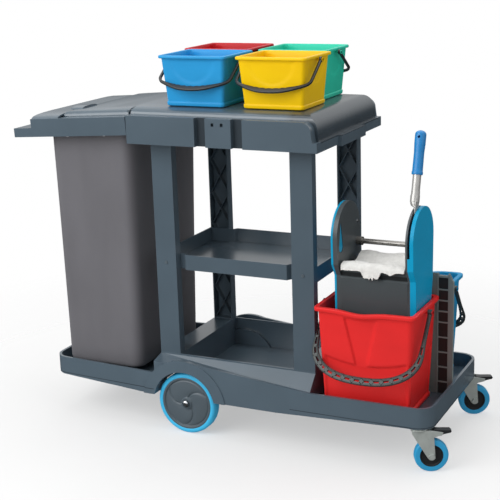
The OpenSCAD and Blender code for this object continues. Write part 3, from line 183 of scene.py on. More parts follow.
class Nodes:
    """The nodes of a material or a surround while they are put together."""

    def __init__(self, owner, coordinate):
        owner.use_nodes = True
        self.tree = owner.node_tree
        self.place = self.add("ShaderNodeTexCoord").outputs[coordinate]

    def add(self, kind, **values):
        node = self.tree.nodes.new(kind)
        for key, value in values.items():
            if hasattr(node, key):
                setattr(node, key, value)
            else:
                node.inputs[key.replace("_", " ")].default_value = value
        return node

    def join(self, source, target):
        self.tree.links.new(source, target)

    def feed(self, socket, value):
        """Gives a socket a link, or its own value where the value is the same all over."""
        if isinstance(value, bpy.types.NodeSocket):
            self.join(value, socket)
        else:
            socket.default_value = value

    def stretched(self, scale):
        node = self.add("ShaderNodeMapping", Scale=scale)
        self.join(self.place, node.inputs["Vector"])
        return node.outputs["Vector"]

    def noise(self, scale, detail=2.0, rough=0.5, along=None):
        node = self.add("ShaderNodeTexNoise", Scale=scale, Detail=detail, Roughness=rough)
        self.join(self.stretched(along) if along else self.place, node.inputs["Vector"])
        return node.outputs["Fac"]

    def ramp(self, value, *stops):
        node = self.add("ShaderNodeValToRGB")
        row = node.color_ramp.elements
        while len(row) < len(stops):
            row.new(0.5)
        for element, (place, colour) in zip(row, stops):
            element.position = place
            element.color = (*colour, 1.0)
        self.join(value, node.inputs["Fac"])
        return node.outputs["Color"]

    def spread(self, value, low, high, to_low, to_high):
        node = self.add("ShaderNodeMapRange", From_Min=low, From_Max=high, To_Min=to_low, To_Max=to_high)
        self.join(value, node.inputs["Value"])
        return node.outputs["Result"]

    def sum(self, kind, first, second):
        node = self.add("ShaderNodeMath", operation=kind)
        self.feed(node.inputs[0], first)
        self.feed(node.inputs[1], second)
        return node.outputs[0]

    def axes(self):
        node = self.add("ShaderNodeSeparateXYZ")
        self.join(self.place, node.inputs[0])
        return node.outputs

    def mix(self, share, first, second):
        node = self.add("ShaderNodeMix", data_type="RGBA", blend_type="MIX")
        for socket, value in zip((node.inputs[0], node.inputs[6], node.inputs[7]), (share, first, second)):
            self.feed(socket, (*value, 1.0) if isinstance(value, tuple) and len(value) == 3 else value)
        return node.outputs[2]

    def bump(self, height, strength, depth, under=None):
        node = self.add("ShaderNodeBump", Strength=strength, Distance=depth)
        self.join(height, node.inputs["Height"])
        if under:
            self.join(under, node.inputs["Normal"])
        return node.outputs["Normal"]

    def blend(self, share, under, over):
        """A node that mixes two shaders by a share."""
        node = self.add("ShaderNodeMixShader")
        for socket, source in zip(node.inputs, (share, under.outputs[0], over.outputs[0])):
            self.join(source, socket)
        return node


class Finish(Nodes):
    """A material while its nodes are put together."""

    def __init__(self, name):
        self.material = bpy.data.materials.new(name)
        super().__init__(self.material, "Object")
        self.shader = self.tree.nodes["Principled BSDF"]

    def rounded(self, radius):
        """The normal as if edges were rounded to a radius."""
        return self.add("ShaderNodeBevel", samples=4, Radius=radius).outputs["Normal"]

    def near_edge(self, rounded):
        """How near an edge is, from 0 to 1, by how far the rounded normal turns away."""
        node = self.add("ShaderNodeVectorMath", operation="DOT_PRODUCT")
        self.join(rounded, node.inputs[0])
        self.join(self.add("ShaderNodeNewGeometry").outputs["Normal"], node.inputs[1])
        return self.spread(node.outputs["Value"], 0.995, 0.86, 0.0, 1.0)

    def show(self, **values):
        """Feeds the shader's sockets and returns the material."""
        for key, value in values.items():
            self.feed(self.shader.inputs[key.replace("_", " ")], value)
        return self.material


def shade(colour, by, plus=0.0):
    """A colour made lighter or darker by a factor, and paler by a sum."""
    return tuple(min(1.0, c * by + plus) for c in colour)


def moulded(name, colour, rough=0.4, mottle=0.1, wear=0.35, grain=0.25, gloss=0.5, pocket_shade=None, painted_dark_bands=()):
    """Moulded plastic: a fine spark-eroded grain, slow drift of shade, and rubbed edges.

    pocket_shade is the half thickness of the web between its pockets, painted near black as painted shade in the
    pockets, and how far along X the web runs.
    painted_dark_bands are painted shade and a painted dark reflection as (axis, middle, half width, how dark), followed
    by any limits as (axis, low, high)."""
    finish = Finish(name)
    tint = finish.ramp(finish.noise(7.0, 3.0), (0.3, shade(colour, 1 - mottle)), (0.7, shade(colour, 1 + mottle)))
    axes = finish.axes() if pocket_shade or painted_dark_bands else None
    # Painted shade: the web seen in the pockets is painted near black.
    if pocket_shade:
        thin = finish.sum("LESS_THAN", finish.sum("ABSOLUTE", axes["Y"], 0.0), pocket_shade[0])
        inner = finish.sum("LESS_THAN", axes["X"], pocket_shade[1])
        tint = finish.mix(finish.sum("MULTIPLY", thin, inner), tint, shade(colour, 0.08))
    # Bands of painted shade and painted dark reflection, darkened towards near black.
    for axis, middle, half, dark, *limits in painted_dark_bands:
        away = finish.sum("ABSOLUTE", finish.sum("SUBTRACT", axes[axis], middle), 0.0)
        share = finish.spread(away, half, half * 1.25, dark, 0.0)
        for other, low, high in limits:
            for test, limit in (("GREATER_THAN", low), ("LESS_THAN", high)):
                share = finish.sum("MULTIPLY", share, finish.sum(test, axes[other], limit))
        tint = finish.mix(share, tint, (0.004, 0.004, 0.005))
    worn = finish.spread(finish.noise(60.0, 4.0), 0.35, 0.7, 0.0, wear)
    rubbed = finish.sum("MULTIPLY", finish.near_edge(finish.rounded(sizes().edge)), worn)
    scuffs = finish.noise(35.0, 3.0, 0.5, (1.0, 1.0, 3.0))
    return finish.show(
        Base_Color=finish.mix(rubbed, tint, shade(colour, 1.25, 0.06)),
        Roughness=finish.spread(scuffs, 0.3, 0.75, rough - 0.004, rough + 0.008),
        Specular_IOR_Level=gloss,
        Normal=finish.bump(finish.noise(1.0 / sizes().grain, 2.0), grain, 0.0003),
    )


def bucket_plastic(name, colour, rough=0.3):
    """Smooth bucket plastic: faint flow marks, small scratches, slow waves and edges rubbed pale."""
    finish = Finish(name)
    flow = finish.noise(5.0, 2.0, 0.5, (1.0, 1.0, 2.5))
    tint = finish.ramp(flow, (0.25, shade(colour, 0.93)), (0.75, shade(colour, 1.05)))
    rounded = finish.rounded(sizes().edge * 0.7)
    worn = finish.spread(finish.noise(90.0, 3.0), 0.4, 0.7, 0.0, 0.25)
    rubbed = finish.sum("MULTIPLY", finish.near_edge(rounded), worn)
    marks = finish.noise(120.0, 5.0, 0.7, (6.0, 6.0, 0.6))
    return finish.show(
        Base_Color=finish.mix(rubbed, tint, shade(colour, 1.1, 0.05)),
        Roughness=finish.spread(marks, 0.35, 0.75, rough, rough + 0.14),
        Specular_IOR_Level=0.2,
        Normal=finish.bump(finish.noise(22.0, 1.0), 0.08, 0.002, rounded),
    )


def plated(name, colour, rough=0.3, streak=(40.0, 40.0, 400.0), metal=1.0):
    """Plated metal with fine streaks and a little haze."""
    finish = Finish(name)
    lines = finish.noise(1.0, 2.0, 0.5, streak)
    return finish.show(
        Base_Color=finish.ramp(finish.noise(45.0, 4.0), (0.3, shade(colour, 0.86)), (0.7, colour)),
        Metallic=metal,
        Roughness=finish.spread(lines, 0.25, 0.75, rough - 0.07, rough + 0.1),
        Normal=finish.bump(lines, 0.05, 0.0002, finish.rounded(0.001)),
    )


def rubber(name, colour, rough=0.5):
    """Solid rubber: soft sheen, dust in patches and a faint mould texture."""
    finish = Finish(name)
    dust = finish.noise(28.0, 5.0, 0.6)
    return finish.show(
        Base_Color=finish.ramp(dust, (0.3, shade(colour, 0.9)), (0.68, colour), (0.8, shade(colour, 1.1))),
        Roughness=finish.spread(dust, 0.3, 0.8, rough - 0.06, rough + 0.12),
        Normal=finish.bump(finish.noise(700.0, 2.0), 0.15, 0.0003, finish.rounded(0.0015)),
    )


def woven(name, colour, pitch):
    """Coated cloth: a fine plain weave with painted shade between its threads, under a dull coating of uneven shade."""
    finish = Finish(name)
    threads = []
    for along, direction in (((1.0, 1.0, 0.0), "DIAGONAL"), ((0.0, 0.0, 1.0), "Z")):
        wave = finish.add(
            "ShaderNodeTexWave", wave_type="BANDS", bands_direction=direction, Scale=0.32 / pitch, Distortion=0.4
        )
        finish.join(finish.stretched(along), wave.inputs["Vector"])
        threads.append(wave.outputs["Fac"])
    weave = finish.sum("MAXIMUM", *threads)
    cloud = finish.noise(6.0, 4.0, 0.55, (1.0, 1.0, 0.45))
    tint = finish.ramp(cloud, (0.3, shade(colour, 0.9)), (0.7, shade(colour, 1.06)))
    # Painted shade between the threads: darker where the weave is low.
    return finish.show(
        Base_Color=finish.mix(finish.spread(weave, 0.0, 1.0, 0.16, 0.0), tint, shade(colour, 0.7)),
        Roughness=finish.spread(cloud, 0.3, 0.7, 0.58, 0.7),
        Sheen_Weight=0.12,
        Sheen_Roughness=0.5,
        Normal=finish.bump(weave, 0.2, 0.0004),
    )


def cotton(name, colour):
    """Cotton of the mop: soft loops with painted shade between them, uneven white, a broad sheen."""
    finish = Finish(name)
    loops = finish.add("ShaderNodeTexVoronoi", feature="F1", Scale=330.0)
    finish.join(finish.place, loops.inputs["Vector"])
    # Painted shade between the loops: darker towards their edges.
    deep = finish.spread(loops.outputs["Distance"], 0.0, 0.7, 0.0, 0.2)
    tint = finish.ramp(finish.noise(60.0, 5.0, 0.6), (0.25, shade(colour, 0.86)), (0.65, colour))
    return finish.show(
        Base_Color=finish.mix(deep, tint, shade(colour, 0.75)),
        Roughness=0.92,
        Sheen_Weight=0.25,
        Normal=finish.bump(loops.outputs["Distance"], 0.5, 0.0016),
    )


# Values of the body's finish, and its painted shade in channels, a groove and along beads, with a painted dark
# reflection on the hood's end, as bands
SATIN = {"rough": 0.24, "mottle": 0.05, "wear": 0.12, "grain": 0.04, "gloss": 0.75}
# Painted shade in the apron's channels.
APRON_CHANNEL_SHADE = tuple(("X", x, 0.015, 0.65, ("Y", -0.3, -0.2485)) for x in (-0.0425, 0.0775))
# Painted dark reflection on the hood's end face.
HOOD_DARK_REFLECTION = ("X", 0.34, 0.1, 0.5, ("Y", -0.236, 0.236), ("Z", 0.951, 1.05))
# Painted shade lines along the base's beads.
BASE_BEAD_SHADE = tuple(("Z", 0.1395, 0.0012, 0.6, ("X", *run)) for run in ((-0.66, -0.25), (0.22, 0.67)))
# Painted shade in the gate's groove.
GATE_GROOVE_SHADE = ("Z", 0.5625, 0.0055, 0.8)


def finish_for(slot):
    """The finish of a slot of the record, or of a piece that differs from its slot, made when first asked for."""
    name = f"{slot}_finish"
    made = bpy.data.materials.get(name)
    if made:
        return made
    c = colours()
    recipe, colour, rest = {
        "body_plastic": (moulded, c.body, SATIN),
        "deck_plastic": (moulded, c.body, {**SATIN, "painted_dark_bands": (*APRON_CHANNEL_SHADE, HOOD_DARK_REFLECTION)}),
        "base_plastic": (moulded, shade(c.body, 1.1), {**SATIN, "painted_dark_bands": BASE_BEAD_SHADE}),
        "hub_grey": (moulded, c.hub, {"rough": 0.42, "mottle": 0.05, "wear": 0.4}),
        # The divider's pockets get painted shade.
        "divider_plastic": (moulded, c.divider, {"rough": 0.45, "mottle": 0.07, "wear": 0.4, "pocket_shade": (0.0016, 0.645)}),
        "wringer_grey": (moulded, c.wringer, {"rough": 0.42, "mottle": 0.06, "wear": 0.4}),
        "gate_grey": (
            moulded, c.wringer, {"rough": 0.34, "mottle": 0.05, "wear": 0.3, "grain": 0.15, "painted_dark_bands": (GATE_GROOVE_SHADE,)}
        ),
        "bail_dark": (moulded, c.bail, {"rough": 0.36, "mottle": 0.08, "wear": 0.3, "grain": 0.12}),
        "mop_bail_grey": (moulded, c.mop_bail, {"rough": 0.4, "mottle": 0.06, "wear": 0.3, "grain": 0.15}),
        "black_plastic": (moulded, srgb("232528"), {"rough": 0.45, "wear": 0.3}),
        "peg_plastic": (moulded, srgb("D6D9DB"), {"rough": 0.35, "mottle": 0.03, "wear": 0.1, "grain": 0.1}),
        "grip_blue": (moulded, c.grip, {"rough": 0.38, "mottle": 0.05, "wear": 0.2, "grain": 0.2}),
        "wringer_blue": (bucket_plastic, c.cover, {}),
        "mop_red": (bucket_plastic, c.mop_red, {"rough": 0.32}),
        "mop_blue": (bucket_plastic, c.mop_blue, {"rough": 0.32}),
        "tyre_blue": (rubber, c.tyre, {}),
        "tread_blue": (rubber, c.tread, {"rough": 0.45}),
        "steel": (plated, srgb("C9CDD0"), {"rough": 0.24}),
        "dark_steel": (plated, srgb("8C8A86"), {}),
        "lever_steel": (plated, srgb("C4C3C0"), {"rough": 0.34, "streak": (60.0, 60.0, 4.0), "metal": 0.45}),
        "zinc": (plated, srgb("C2C9C5"), {"rough": 0.34, "streak": (90.0, 90.0, 90.0), "metal": 0.3}),
        "bag_fabric": (woven, c.bag, {"pitch": sizes().weave}),
        "cloth_white": (cotton, c.cloth, {}),
        **{f"bucket_{hue}": (bucket_plastic, getattr(c, hue), {}) for hue in SMALL},
    }[slot]
    return recipe(name, tuple(colour), **rest)


# Making pieces


def settle(piece, node, slot, finish=None):
    """Lets a piece stand for a CAD node on the node's own body, with a finish, the slot's own unless named."""
    bpy.context.scene.collection.objects.link(piece)
    piece.data.materials.append(finish_for(finish or slot))
    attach(piece, NODES[node]["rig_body"])
    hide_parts(node)


def piece_from(bm, name, angle):
    """A smooth object from a bmesh, sharp where its faces meet at more than an angle."""
    mesh = bpy.data.meshes.new(name)
    bm.to_mesh(mesh)
    bm.free()
    if "custom_normal" in mesh.attributes:
        mesh.attributes.remove(mesh.attributes["custom_normal"])
    mesh.shade_smooth()
    mesh.set_sharp_from_angle(angle=math.radians(angle))
    return bpy.data.objects.new(name, mesh)


def merged(node):
    """A merged copy of a CAD node's mesh."""
    bm = bmesh.new()
    bm.from_mesh(NODES[node].data)
    bmesh.ops.remove_doubles(bm, verts=bm.verts, dist=0.00002)
    return bm


def stand_in(bm, name, node, slot, angle=28.0, finish=None):
    """A piece from a bmesh that stands for a CAD node."""
    settle(piece_from(bm, name, angle), node, slot, finish)


def moulding(node, name, slot, finish=None):
    """A merged copy of a CAD node with smooth curves, which stands for the node."""
    stand_in(merged(node), name, node, slot, finish=finish)


def dress(slot, *names):
    """Gives CAD nodes that keep their own shape a slot's finish."""
    for name in names:
        slots = NODES[name].data.materials
        if len(slots):
            slots[0] = finish_for(slot)
        else:
            slots.append(finish_for(slot))


def corners_cut(bm, verts, radius, segments):
    """Rounds the corners of a flat face."""
    bmesh.ops.bevel(
        bm, geom=verts, offset=radius, offset_type="OFFSET", affect="VERTICES", segments=segments, profile=0.5,
        material=-1,
    )


def plate(bm, long, wide, radius, corner, along, across):
    """A flat plate with rounded corners, its straight sides cut into short runs. Returns its outline."""
    verts = bmesh.ops.create_grid(bm, x_segments=1, y_segments=1, size=0.5)["verts"]
    bmesh.ops.scale(bm, vec=(long, wide, 1.0), verts=verts)
    corners_cut(bm, verts, radius, corner)
    for way, cuts in ((0, along), (1, across)):
        runs = [e for e in bm.edges if abs((e.verts[0].co - e.verts[1].co)[1 - way]) < 1e-7]
        bmesh.ops.subdivide_edges(bm, edges=runs, cuts=cuts)
    return [e for e in bm.edges if e.is_boundary]


def drawn_on(bm, ring):
    """Extrudes a ring of edges. Returns the new verts, ring and faces."""
    made = bmesh.ops.extrude_edge_only(bm, edges=ring)["geom"]
    kinds = (bmesh.types.BMVert, bmesh.types.BMEdge, bmesh.types.BMFace)
    verts, edges, faces = ([g for g in made if isinstance(g, kind)] for kind in kinds)
    fresh = set(verts)
    return verts, [e for e in edges if fresh.issuperset(e.verts)], faces


def lofted(bm, verts, ring, places):
    """Draws a ring through places, each a matrix that sets the ring's first form there. Returns the runs of faces."""
    was = Matrix.Identity(4)
    runs = []
    for i, now in enumerate(places):
        if i:
            verts, ring, faces = drawn_on(bm, ring)
            runs.append(faces)
        bmesh.ops.transform(bm, matrix=now @ was.inverted(), verts=verts)
        was = now
    return runs


def raise_wall(bm, outline, long, wide, steps):
    """Draws an outline up through steps of (outset, height), both measured from the plate. Returns the last outline."""
    was_out, was_high = 0.0, 0.0
    for out, high in steps:
        verts, outline, faces = drawn_on(bm, outline)
        grow = ((long + 2 * out) / (long + 2 * was_out), (wide + 2 * out) / (wide + 2 * was_out), 1.0)
        bmesh.ops.scale(bm, vec=grow, verts=verts)
        bmesh.ops.translate(bm, vec=(0.0, 0.0, high - was_high), verts=verts)
        was_out, was_high = out, high
    return outline


def rows(first, last, count):
    """Evenly spaced steps after the first one, up to and with the last one."""
    return [tuple(a + (b - a) * (i + 1) / count for a, b in zip(first, last)) for i in range(count)]


def upright(way):
    """The turn that lays Z along a direction."""
    return Vector((0.0, 0.0, 1.0)).rotation_difference(way).to_matrix().to_4x4()


def rod(bm, start, way, radius, long):
    """A round rod that starts at a point and runs along a direction."""
    way = Vector(way)
    bmesh.ops.create_cone(
        bm, cap_ends=True, segments=24, radius1=radius, radius2=radius, depth=long,
        matrix=Matrix.Translation(Vector(start) + way * long / 2) @ upright(way),
    )


# Curves and noise


def smooth_step(value, low, high):
    """From 0 at the low end up to 1 at the high end, smoothly."""
    t = min(1.0, max(0.0, (value - low) / (high - low)))
    return t * t * (3 - 2 * t)


def fall(value, low, high):
    """From 1 at the low end down to 0 at the high end, smoothly."""
    return 1 - smooth_step(value, low, high)


def bell(value, middle, wide):
    """A smooth bump, 1 in the middle."""
    return math.exp(-(((value - middle) / wide) ** 2))


def soft(*at):
    """Smooth noise at a point."""
    return noise.noise(Vector(at))


def outward(x, y, end):
    """The direction away from the middle, along X on an end and along Y on a side."""
    return Vector((math.copysign(1.0, x), 0, 0)) if end else Vector((0, math.copysign(1.0, y), 0))


# Buckets and bails


def bucket_shell(high, marks, long, wide, draft, wall, lip, radius, cuts):
    """A bucket about its rim's middle, standing on z = 0: foot, drafted wall, flanged rim and inside."""
    bm = bmesh.new()
    out = draft + 0.006
    brim, inner = high - 1.25 * lip, out - lip - wall
    size = (long - 2 * out, wide - 2 * out)
    outline = plate(bm, *size, radius, 7, cuts[0], cuts[1])
    foot = [(0.003, 0.0004), (0.0058, 0.0022), (0.0068, 0.0055), (0.0072, 0.0108), (0.0066, 0.0128), (0.005, 0.0142)]
    steps = foot + rows(foot[-1], (out - lip, brim), cuts[2])
    steps += [(out - 0.0018, brim - 0.0003), (out - 0.0004, brim + 0.0004), (out, brim + 0.0016)]
    steps += [(out, high - 0.0025), (out - 0.0007, high - 0.0011), (out - 0.0018, high - 0.0003), (out - 0.003, high)]
    steps += [(inner + 0.001, high), (inner - 0.0002, high - 0.0006), (inner - 0.001, high - 0.002)]
    steps += rows(steps[-1], (0.0045 - wall, 0.012), 14)
    steps += [(0.003 - wall, wall + 0.003), (-wall - 0.002, wall)]
    outline = raise_wall(bm, outline, *size, steps)
    bmesh.ops.contextual_create(bm, geom=outline)
    bmesh.ops.recalc_face_normals(bm, faces=bm.faces)
    marks(bm)
    return bm


def pins(bm, at, half, out, radius, thin):
    """Two bail pins with heads, on the bucket's ends."""
    head = 0.002
    for way in (-1.0, 1.0):
        rod(bm, (way * (half - thin), 0.0, at), (way, 0.0, 0.0), radius, out + thin)
        rod(bm, (way * (half + out - head), 0.0, at), (way, 0.0, 0.0), radius + head, head)


def small_marks(bm):
    """Shallow hollow in each wall, open to the rim and rounded at its foot."""
    deep = 0.0019
    for v in bm.verts:
        x, y, z = v.co
        if not 0.02 < z < 0.1432:
            continue
        end = abs(x) / 0.113 > abs(y) / 0.1
        across = abs(y) / 0.07 if end else abs(x) / 0.081
        inside = fall(math.hypot(across, (0.152 - z) / 0.088), 0.84, 1.02)
        v.co -= outward(x, y, end) * deep * inside * fall(z, 0.136, 0.143)


def mop_marks(bm):
    """Pouring dip in the front rim, a tapering hollow below it and a bowed step round the walls."""
    dip, front_deep, end_deep = 0.009, 0.0062, 0.005
    for v in bm.verts:
        x, y, z = v.co
        if y < 0:
            v.co.z -= dip * bell(x, -0.014, 0.052) * smooth_step(z, 0.27, 0.31) * smooth_step(-y, 0.075, 0.105)
        if not 0.016 < z < 0.298:
            continue
        if y < -0.08 and abs(x) < 0.134:
            ledge = 0.170 - 0.024 * (1 - (x / 0.135) ** 2)
            step = fall(z, ledge - 0.008, ledge + 0.003) * fall(abs(x), 0.12, 0.131)
            up = min(1.0, max(0.0, (z - 0.15) / 0.15))
            left, right = -0.032 - 0.034 * up, 0.010 + 0.035 * up
            panel = smooth_step(x, left - 0.002, left + 0.003) * fall(x, right - 0.014, right + 0.004)
            panel *= fall(z, 0.284, 0.297) * smooth_step(z, ledge - 0.03, ledge)
            v.co.y += front_deep * max(step, panel)
        elif abs(x) > 0.115 and abs(y) < 0.098:
            ledge = 0.176 - 0.014 * (1 - (y / 0.1) ** 2)
            step = fall(z, ledge - 0.008, ledge + 0.003) * fall(abs(y), 0.084, 0.096)
            v.co.x -= math.copysign(end_deep, x) * step


def bail_line(half, reach, sag, radius, count=48, bend=10):
    """A bail in its own plane as (across, away): straight arms, round corners and a bowed cross bar."""
    turn = math.radians(66)
    span = half - radius + radius * math.cos(turn)
    top = reach - sag * (span / half) ** 2 - radius * math.sin(turn)
    left = [(-half, top * i / 6) for i in range(6)]
    left += [
        (-half + radius - radius * math.cos(turn * i / bend), top + radius * math.sin(turn * i / bend))
        for i in range(bend + 1)
    ]
    bar = [span * (2 * i / count - 1) for i in range(1, count)]
    return left + [(u, reach - sag * (u / half) ** 2) for u in bar] + [(-u, w) for u, w in reversed(left)]


def loop_line(half, reach, arm, power, count=96):
    """The fuller loop of a mop bucket's bail, as (across, away): straight arms and a round bow."""
    bow = []
    for i in range(count + 1):
        c, s = math.cos(math.pi * (1 - i / count)), math.sin(math.pi * i / count)
        bow.append((math.copysign(half * abs(c) ** (2 / power), c), arm + (reach - arm) * abs(s) ** (2 / power)))
    return [(-half, 0.0)] + bow + [(half, 0.0)]


def evened(line, step):
    """A line cut anew into runs of nearly the same length."""
    ends = [Vector(point) for point in line]
    marks = [0.0]
    for a, b in zip(ends, ends[1:]):
        marks.append(marks[-1] + (b - a).length)
    count = round(marks[-1] / step)
    made, i = [], 0
    for n in range(count + 1):
        at = marks[-1] * n / count
        while i < len(ends) - 2 and marks[i + 1] < at:
            i += 1
        share = (at - marks[i]) / max(1e-9, marks[i + 1] - marks[i])
        made.append(tuple(ends[i].lerp(ends[i + 1], min(1.0, share))))
    return made


def strap(line, thick, sides):
    """A flat bar with rounded edges along a line, from its half widths towards and away from the pins at each point.

    Returns its mesh and its runs of faces."""
    bm = bmesh.new()
    verts = bmesh.ops.create_grid(bm, x_segments=1, y_segments=1, size=0.5)["verts"]
    bmesh.ops.scale(bm, vec=(STRAP_START, thick, 1.0), verts=verts)
    corners_cut(bm, verts, thick * STRAP_ROUND, 3)
    bmesh.ops.delete(bm, geom=bm.faces[:], context="FACES_ONLY")
    places = []
    for i, ((u, w), (near, away)) in enumerate(zip(line, sides)):
        a, b = line[max(i - 1, 0)], line[min(i + 1, len(line) - 1)]
        way = Vector((b[0] - a[0], 0.0, b[1] - a[1])).normalized()
        turn = Matrix((Vector((way.z, 0.0, -way.x)), Vector((0.0, 1.0, 0.0)), way)).transposed().to_4x4()
        shift = Matrix.Translation(((near - away) / 2, 0.0, 0.0))
        grow = Matrix.Diagonal(((near + away) / STRAP_START, 1.0, 1.0, 1.0))
        places.append(Matrix.Translation((u, 0.0, w)) @ turn @ shift @ grow)
    runs = lofted(bm, bm.verts[:], bm.edges[:], places)
    bmesh.ops.holes_fill(bm, edges=[e for e in bm.edges if e.is_boundary])
    bmesh.ops.recalc_face_normals(bm, faces=bm.faces)
    return bm, runs


def cut_window(bm, faces, rail):
    """Cuts a window through a bar's front and back faces, inside rails of a width."""
    pair = []
    both = [[f for f in faces if f.normal.y * way > 0.9] for way in (-1.0, 1.0)]
    for flat in both:
        bmesh.ops.inset_region(bm, faces=flat, thickness=rail, use_even_offset=True)
        inner = set(flat)
        rim = dict.fromkeys(e for f in flat for e in f.edges)
        pair += [e for e in rim if sum(f in inner for f in e.link_faces) == 1]
    bmesh.ops.delete(bm, geom=both[0] + both[1], context="FACES_ONLY")
    bmesh.ops.bridge_loops(bm, edges=pair)


def hang_bail(bm, name, side, finish, half, lift, eye, long, angle):
    """Gives a bail drawn in the XZ plane its eyes, and hangs it from its pins, turned by an angle towards a side."""
    bmesh.ops.translate(bm, vec=(0.0, 0.0, lift), verts=bm.verts)
    for way in (-1.0, 1.0):
        rod(bm, (way * half - long / 2, 0.0, 0.0), (1.0, 0.0, 0.0), eye, long)
    pivot = Vector(JOINTS[f"{name}_bail_swing"]["pos_m"])
    place = Matrix.Translation(pivot) @ Matrix.Rotation(math.radians(angle) * -side, 4, "X")
    bmesh.ops.transform(bm, matrix=place, verts=bm.verts)
    stand_in(bm, f"{name}_pail_bail", f"{name}_bail", "bail_dark", 40.0, finish)


def pail(name, slot, marks, form, ends, turn=0.0):
    """Makes a bucket with its pins, turned about its middle, in the place of its CAD node."""
    low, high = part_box(f"{name}_bucket")
    pivot = Vector(JOINTS[f"{name}_bail_swing"]["pos_m"])
    bm = bucket_shell(high.z - low.z, marks, **form)
    pins(bm, pivot.z - low.z, **ends)
    if turn:
        bmesh.ops.rotate(bm, cent=(0, 0, 0), matrix=Matrix.Rotation(turn, 3, "Z"), verts=bm.verts)
    bmesh.ops.translate(bm, vec=(pivot.x, pivot.y, low.z), verts=bm.verts)
    stand_in(bm, f"{name}_pail", f"{name}_bucket", slot, 35.0)


class CART_OT_small_buckets(bpy.types.Operator):
    """Make the four small buckets with their flanged rims and pins"""

    bl_idname = "janitor_cart.small_buckets"
    bl_label = "Small Buckets"

    def execute(self, context):
        for name in SMALL:
            pail(name, f"bucket_{name}", small_marks, SMALL_PAIL, SMALL_PINS)
        return {"FINISHED"}


class CART_OT_small_bails(bpy.types.Operator):
    """Make the small buckets' flat bails with finger notches along the inner edge"""

    bl_idname = "janitor_cart.small_bails"
    bl_label = "Small Bails"

    def execute(self, context):
        narrow, broad, notch, pitch = 0.0042, sizes().bail / 2, 0.0022, 0.021
        line = evened(bail_line(**SMALL_BAIL), 0.0022)
        shapes = []
        for u, w in line:
            half = narrow + (broad - narrow) * fall(abs(u), 0.03, 0.112)
            cut = notch * (1 - abs(math.cos(math.pi * u / pitch))) * fall(abs(u), 0.05, 0.056)
            shapes.append((half - cut, half))
        for name in SMALL:
            bm, runs = strap(line, SMALL_STRAP, shapes)
            hang_bail(bm, name, -1.0 if name in FRONT else 1.0, None, **SMALL_HANG)
        return {"FINISHED"}


class CART_OT_mop_buckets(bpy.types.Operator):
    """Make the two mop buckets with their pouring dips, hollow panels and stepped walls"""

    bl_idname = "janitor_cart.mop_buckets"
    bl_label = "Mop Buckets"

    def execute(self, context):
        for name, side in MOP:
            pail(f"{name}_mop", f"mop_{name}", mop_marks, MOP_PAIL, MOP_PINS, math.pi if side > 0 else 0.0)
        return {"FINISHED"}


class CART_OT_mop_bails(bpy.types.Operator):
    """Make the mop buckets' flat bails with their ladder of windows"""

    bl_idname = "janitor_cart.mop_bails"
    bl_label = "Mop Bails"

    def execute(self, context):
        narrow, broad, rail = 0.006, sizes().mop_bail / 2, 0.34
        line = evened(loop_line(**MOP_BAIL), 0.0037)
        halves = [narrow + (broad - narrow) * smooth_step(w, 0.07, 0.2) for u, w in line]
        for name, side in MOP:
            bm, runs = strap(line, MOP_STRAP, [(half, half) for half in halves])
            for first in range(PLAIN_RUNS, len(runs) - PLAIN_RUNS - WINDOW_RUNS + 1, WINDOW_RUNS):
                flat = 2 * (halves[first + WINDOW_RUNS // 2] - STRAP_ROUND * MOP_STRAP)
                cut_window(bm, [f for run in runs[first:first + WINDOW_RUNS] for f in run], rail * flat)
            hang_bail(bm, f"{name}_mop", side, "mop_bail_grey", **MOP_HANG)
        return {"FINISHED"}


# Body, wheels and metal


class CART_OT_moulded_body(bpy.types.Operator):
    """Make the base, posts, shelf, deck, holder, lid and divider with smooth moulded curves"""

    bl_idname = "janitor_cart.moulded_body"
    bl_label = "Moulded Body"

    def execute(self, context):
        for node, name in (("shelf", "shelf"), ("bag_holder", "holder"), ("bag_lid", "lid")):
            moulding(node, f"{name}_moulding", "body_plastic")
        for corner in ("front_left", "front_right", "rear_left", "rear_right"):
            moulding(f"{corner}_post", f"post_{corner}", "body_plastic")
        moulding("axle_brackets", "axle_bracket_mouldings", "body_plastic")
        moulding("base_tray", "base_moulding", "body_plastic", finish="base_plastic")
        moulding("top_deck", "deck_moulding", "body_plastic", finish="deck_plastic")
        moulding("bucket_divider", "divider_moulding", "divider_plastic")
        moulding("bag_pegs", "peg_mouldings", "peg_plastic")
        return {"FINISHED"}


class CART_OT_metalwork(bpy.types.Operator):
    """Give the axle, caster forks, rods, pins and screws their finishes"""

    bl_idname = "janitor_cart.metalwork"
    bl_label = "Metalwork"

    def execute(self, context):
        dress("zinc", "right_fork", "left_fork", "caster_stems", "right_caster_bolt", "left_caster_bolt", "axle")
        dress("steel", "axle_caps", "cover_screws", "lever_pin", "press_shaft")
        dress("lever_steel", "lever_tube")
        dress("dark_steel", "cross_rod")
        dress("hub_grey", "shelf_screws", "lid_hinge_pin")
        return {"FINISHED"}


def wheel_place(joint, side):
    """The place of a large wheel drawn about Z, with its outer face up."""
    return Matrix.Translation(Vector(JOINTS[joint]["pos_m"])) @ Matrix.Rotation(math.radians(-90.0) * side, 4, "X")


def turned(profile, steps):
    """A profile of (radius, height) turned about Z."""
    bm = bmesh.new()
    verts = [bm.verts.new((r, 0.0, z)) for r, z in profile]
    edges = [bm.edges.new(pair) for pair in zip(verts, verts[1:])]
    bmesh.ops.spin(
        bm, geom=verts + edges, cent=(0, 0, 0), axis=(0, 0, 1), angle=2 * math.pi, steps=steps, use_merge=True
    )
    bmesh.ops.remove_doubles(bm, verts=bm.verts, dist=0.00001)
    bmesh.ops.recalc_face_normals(bm, faces=bm.faces)
    return bm


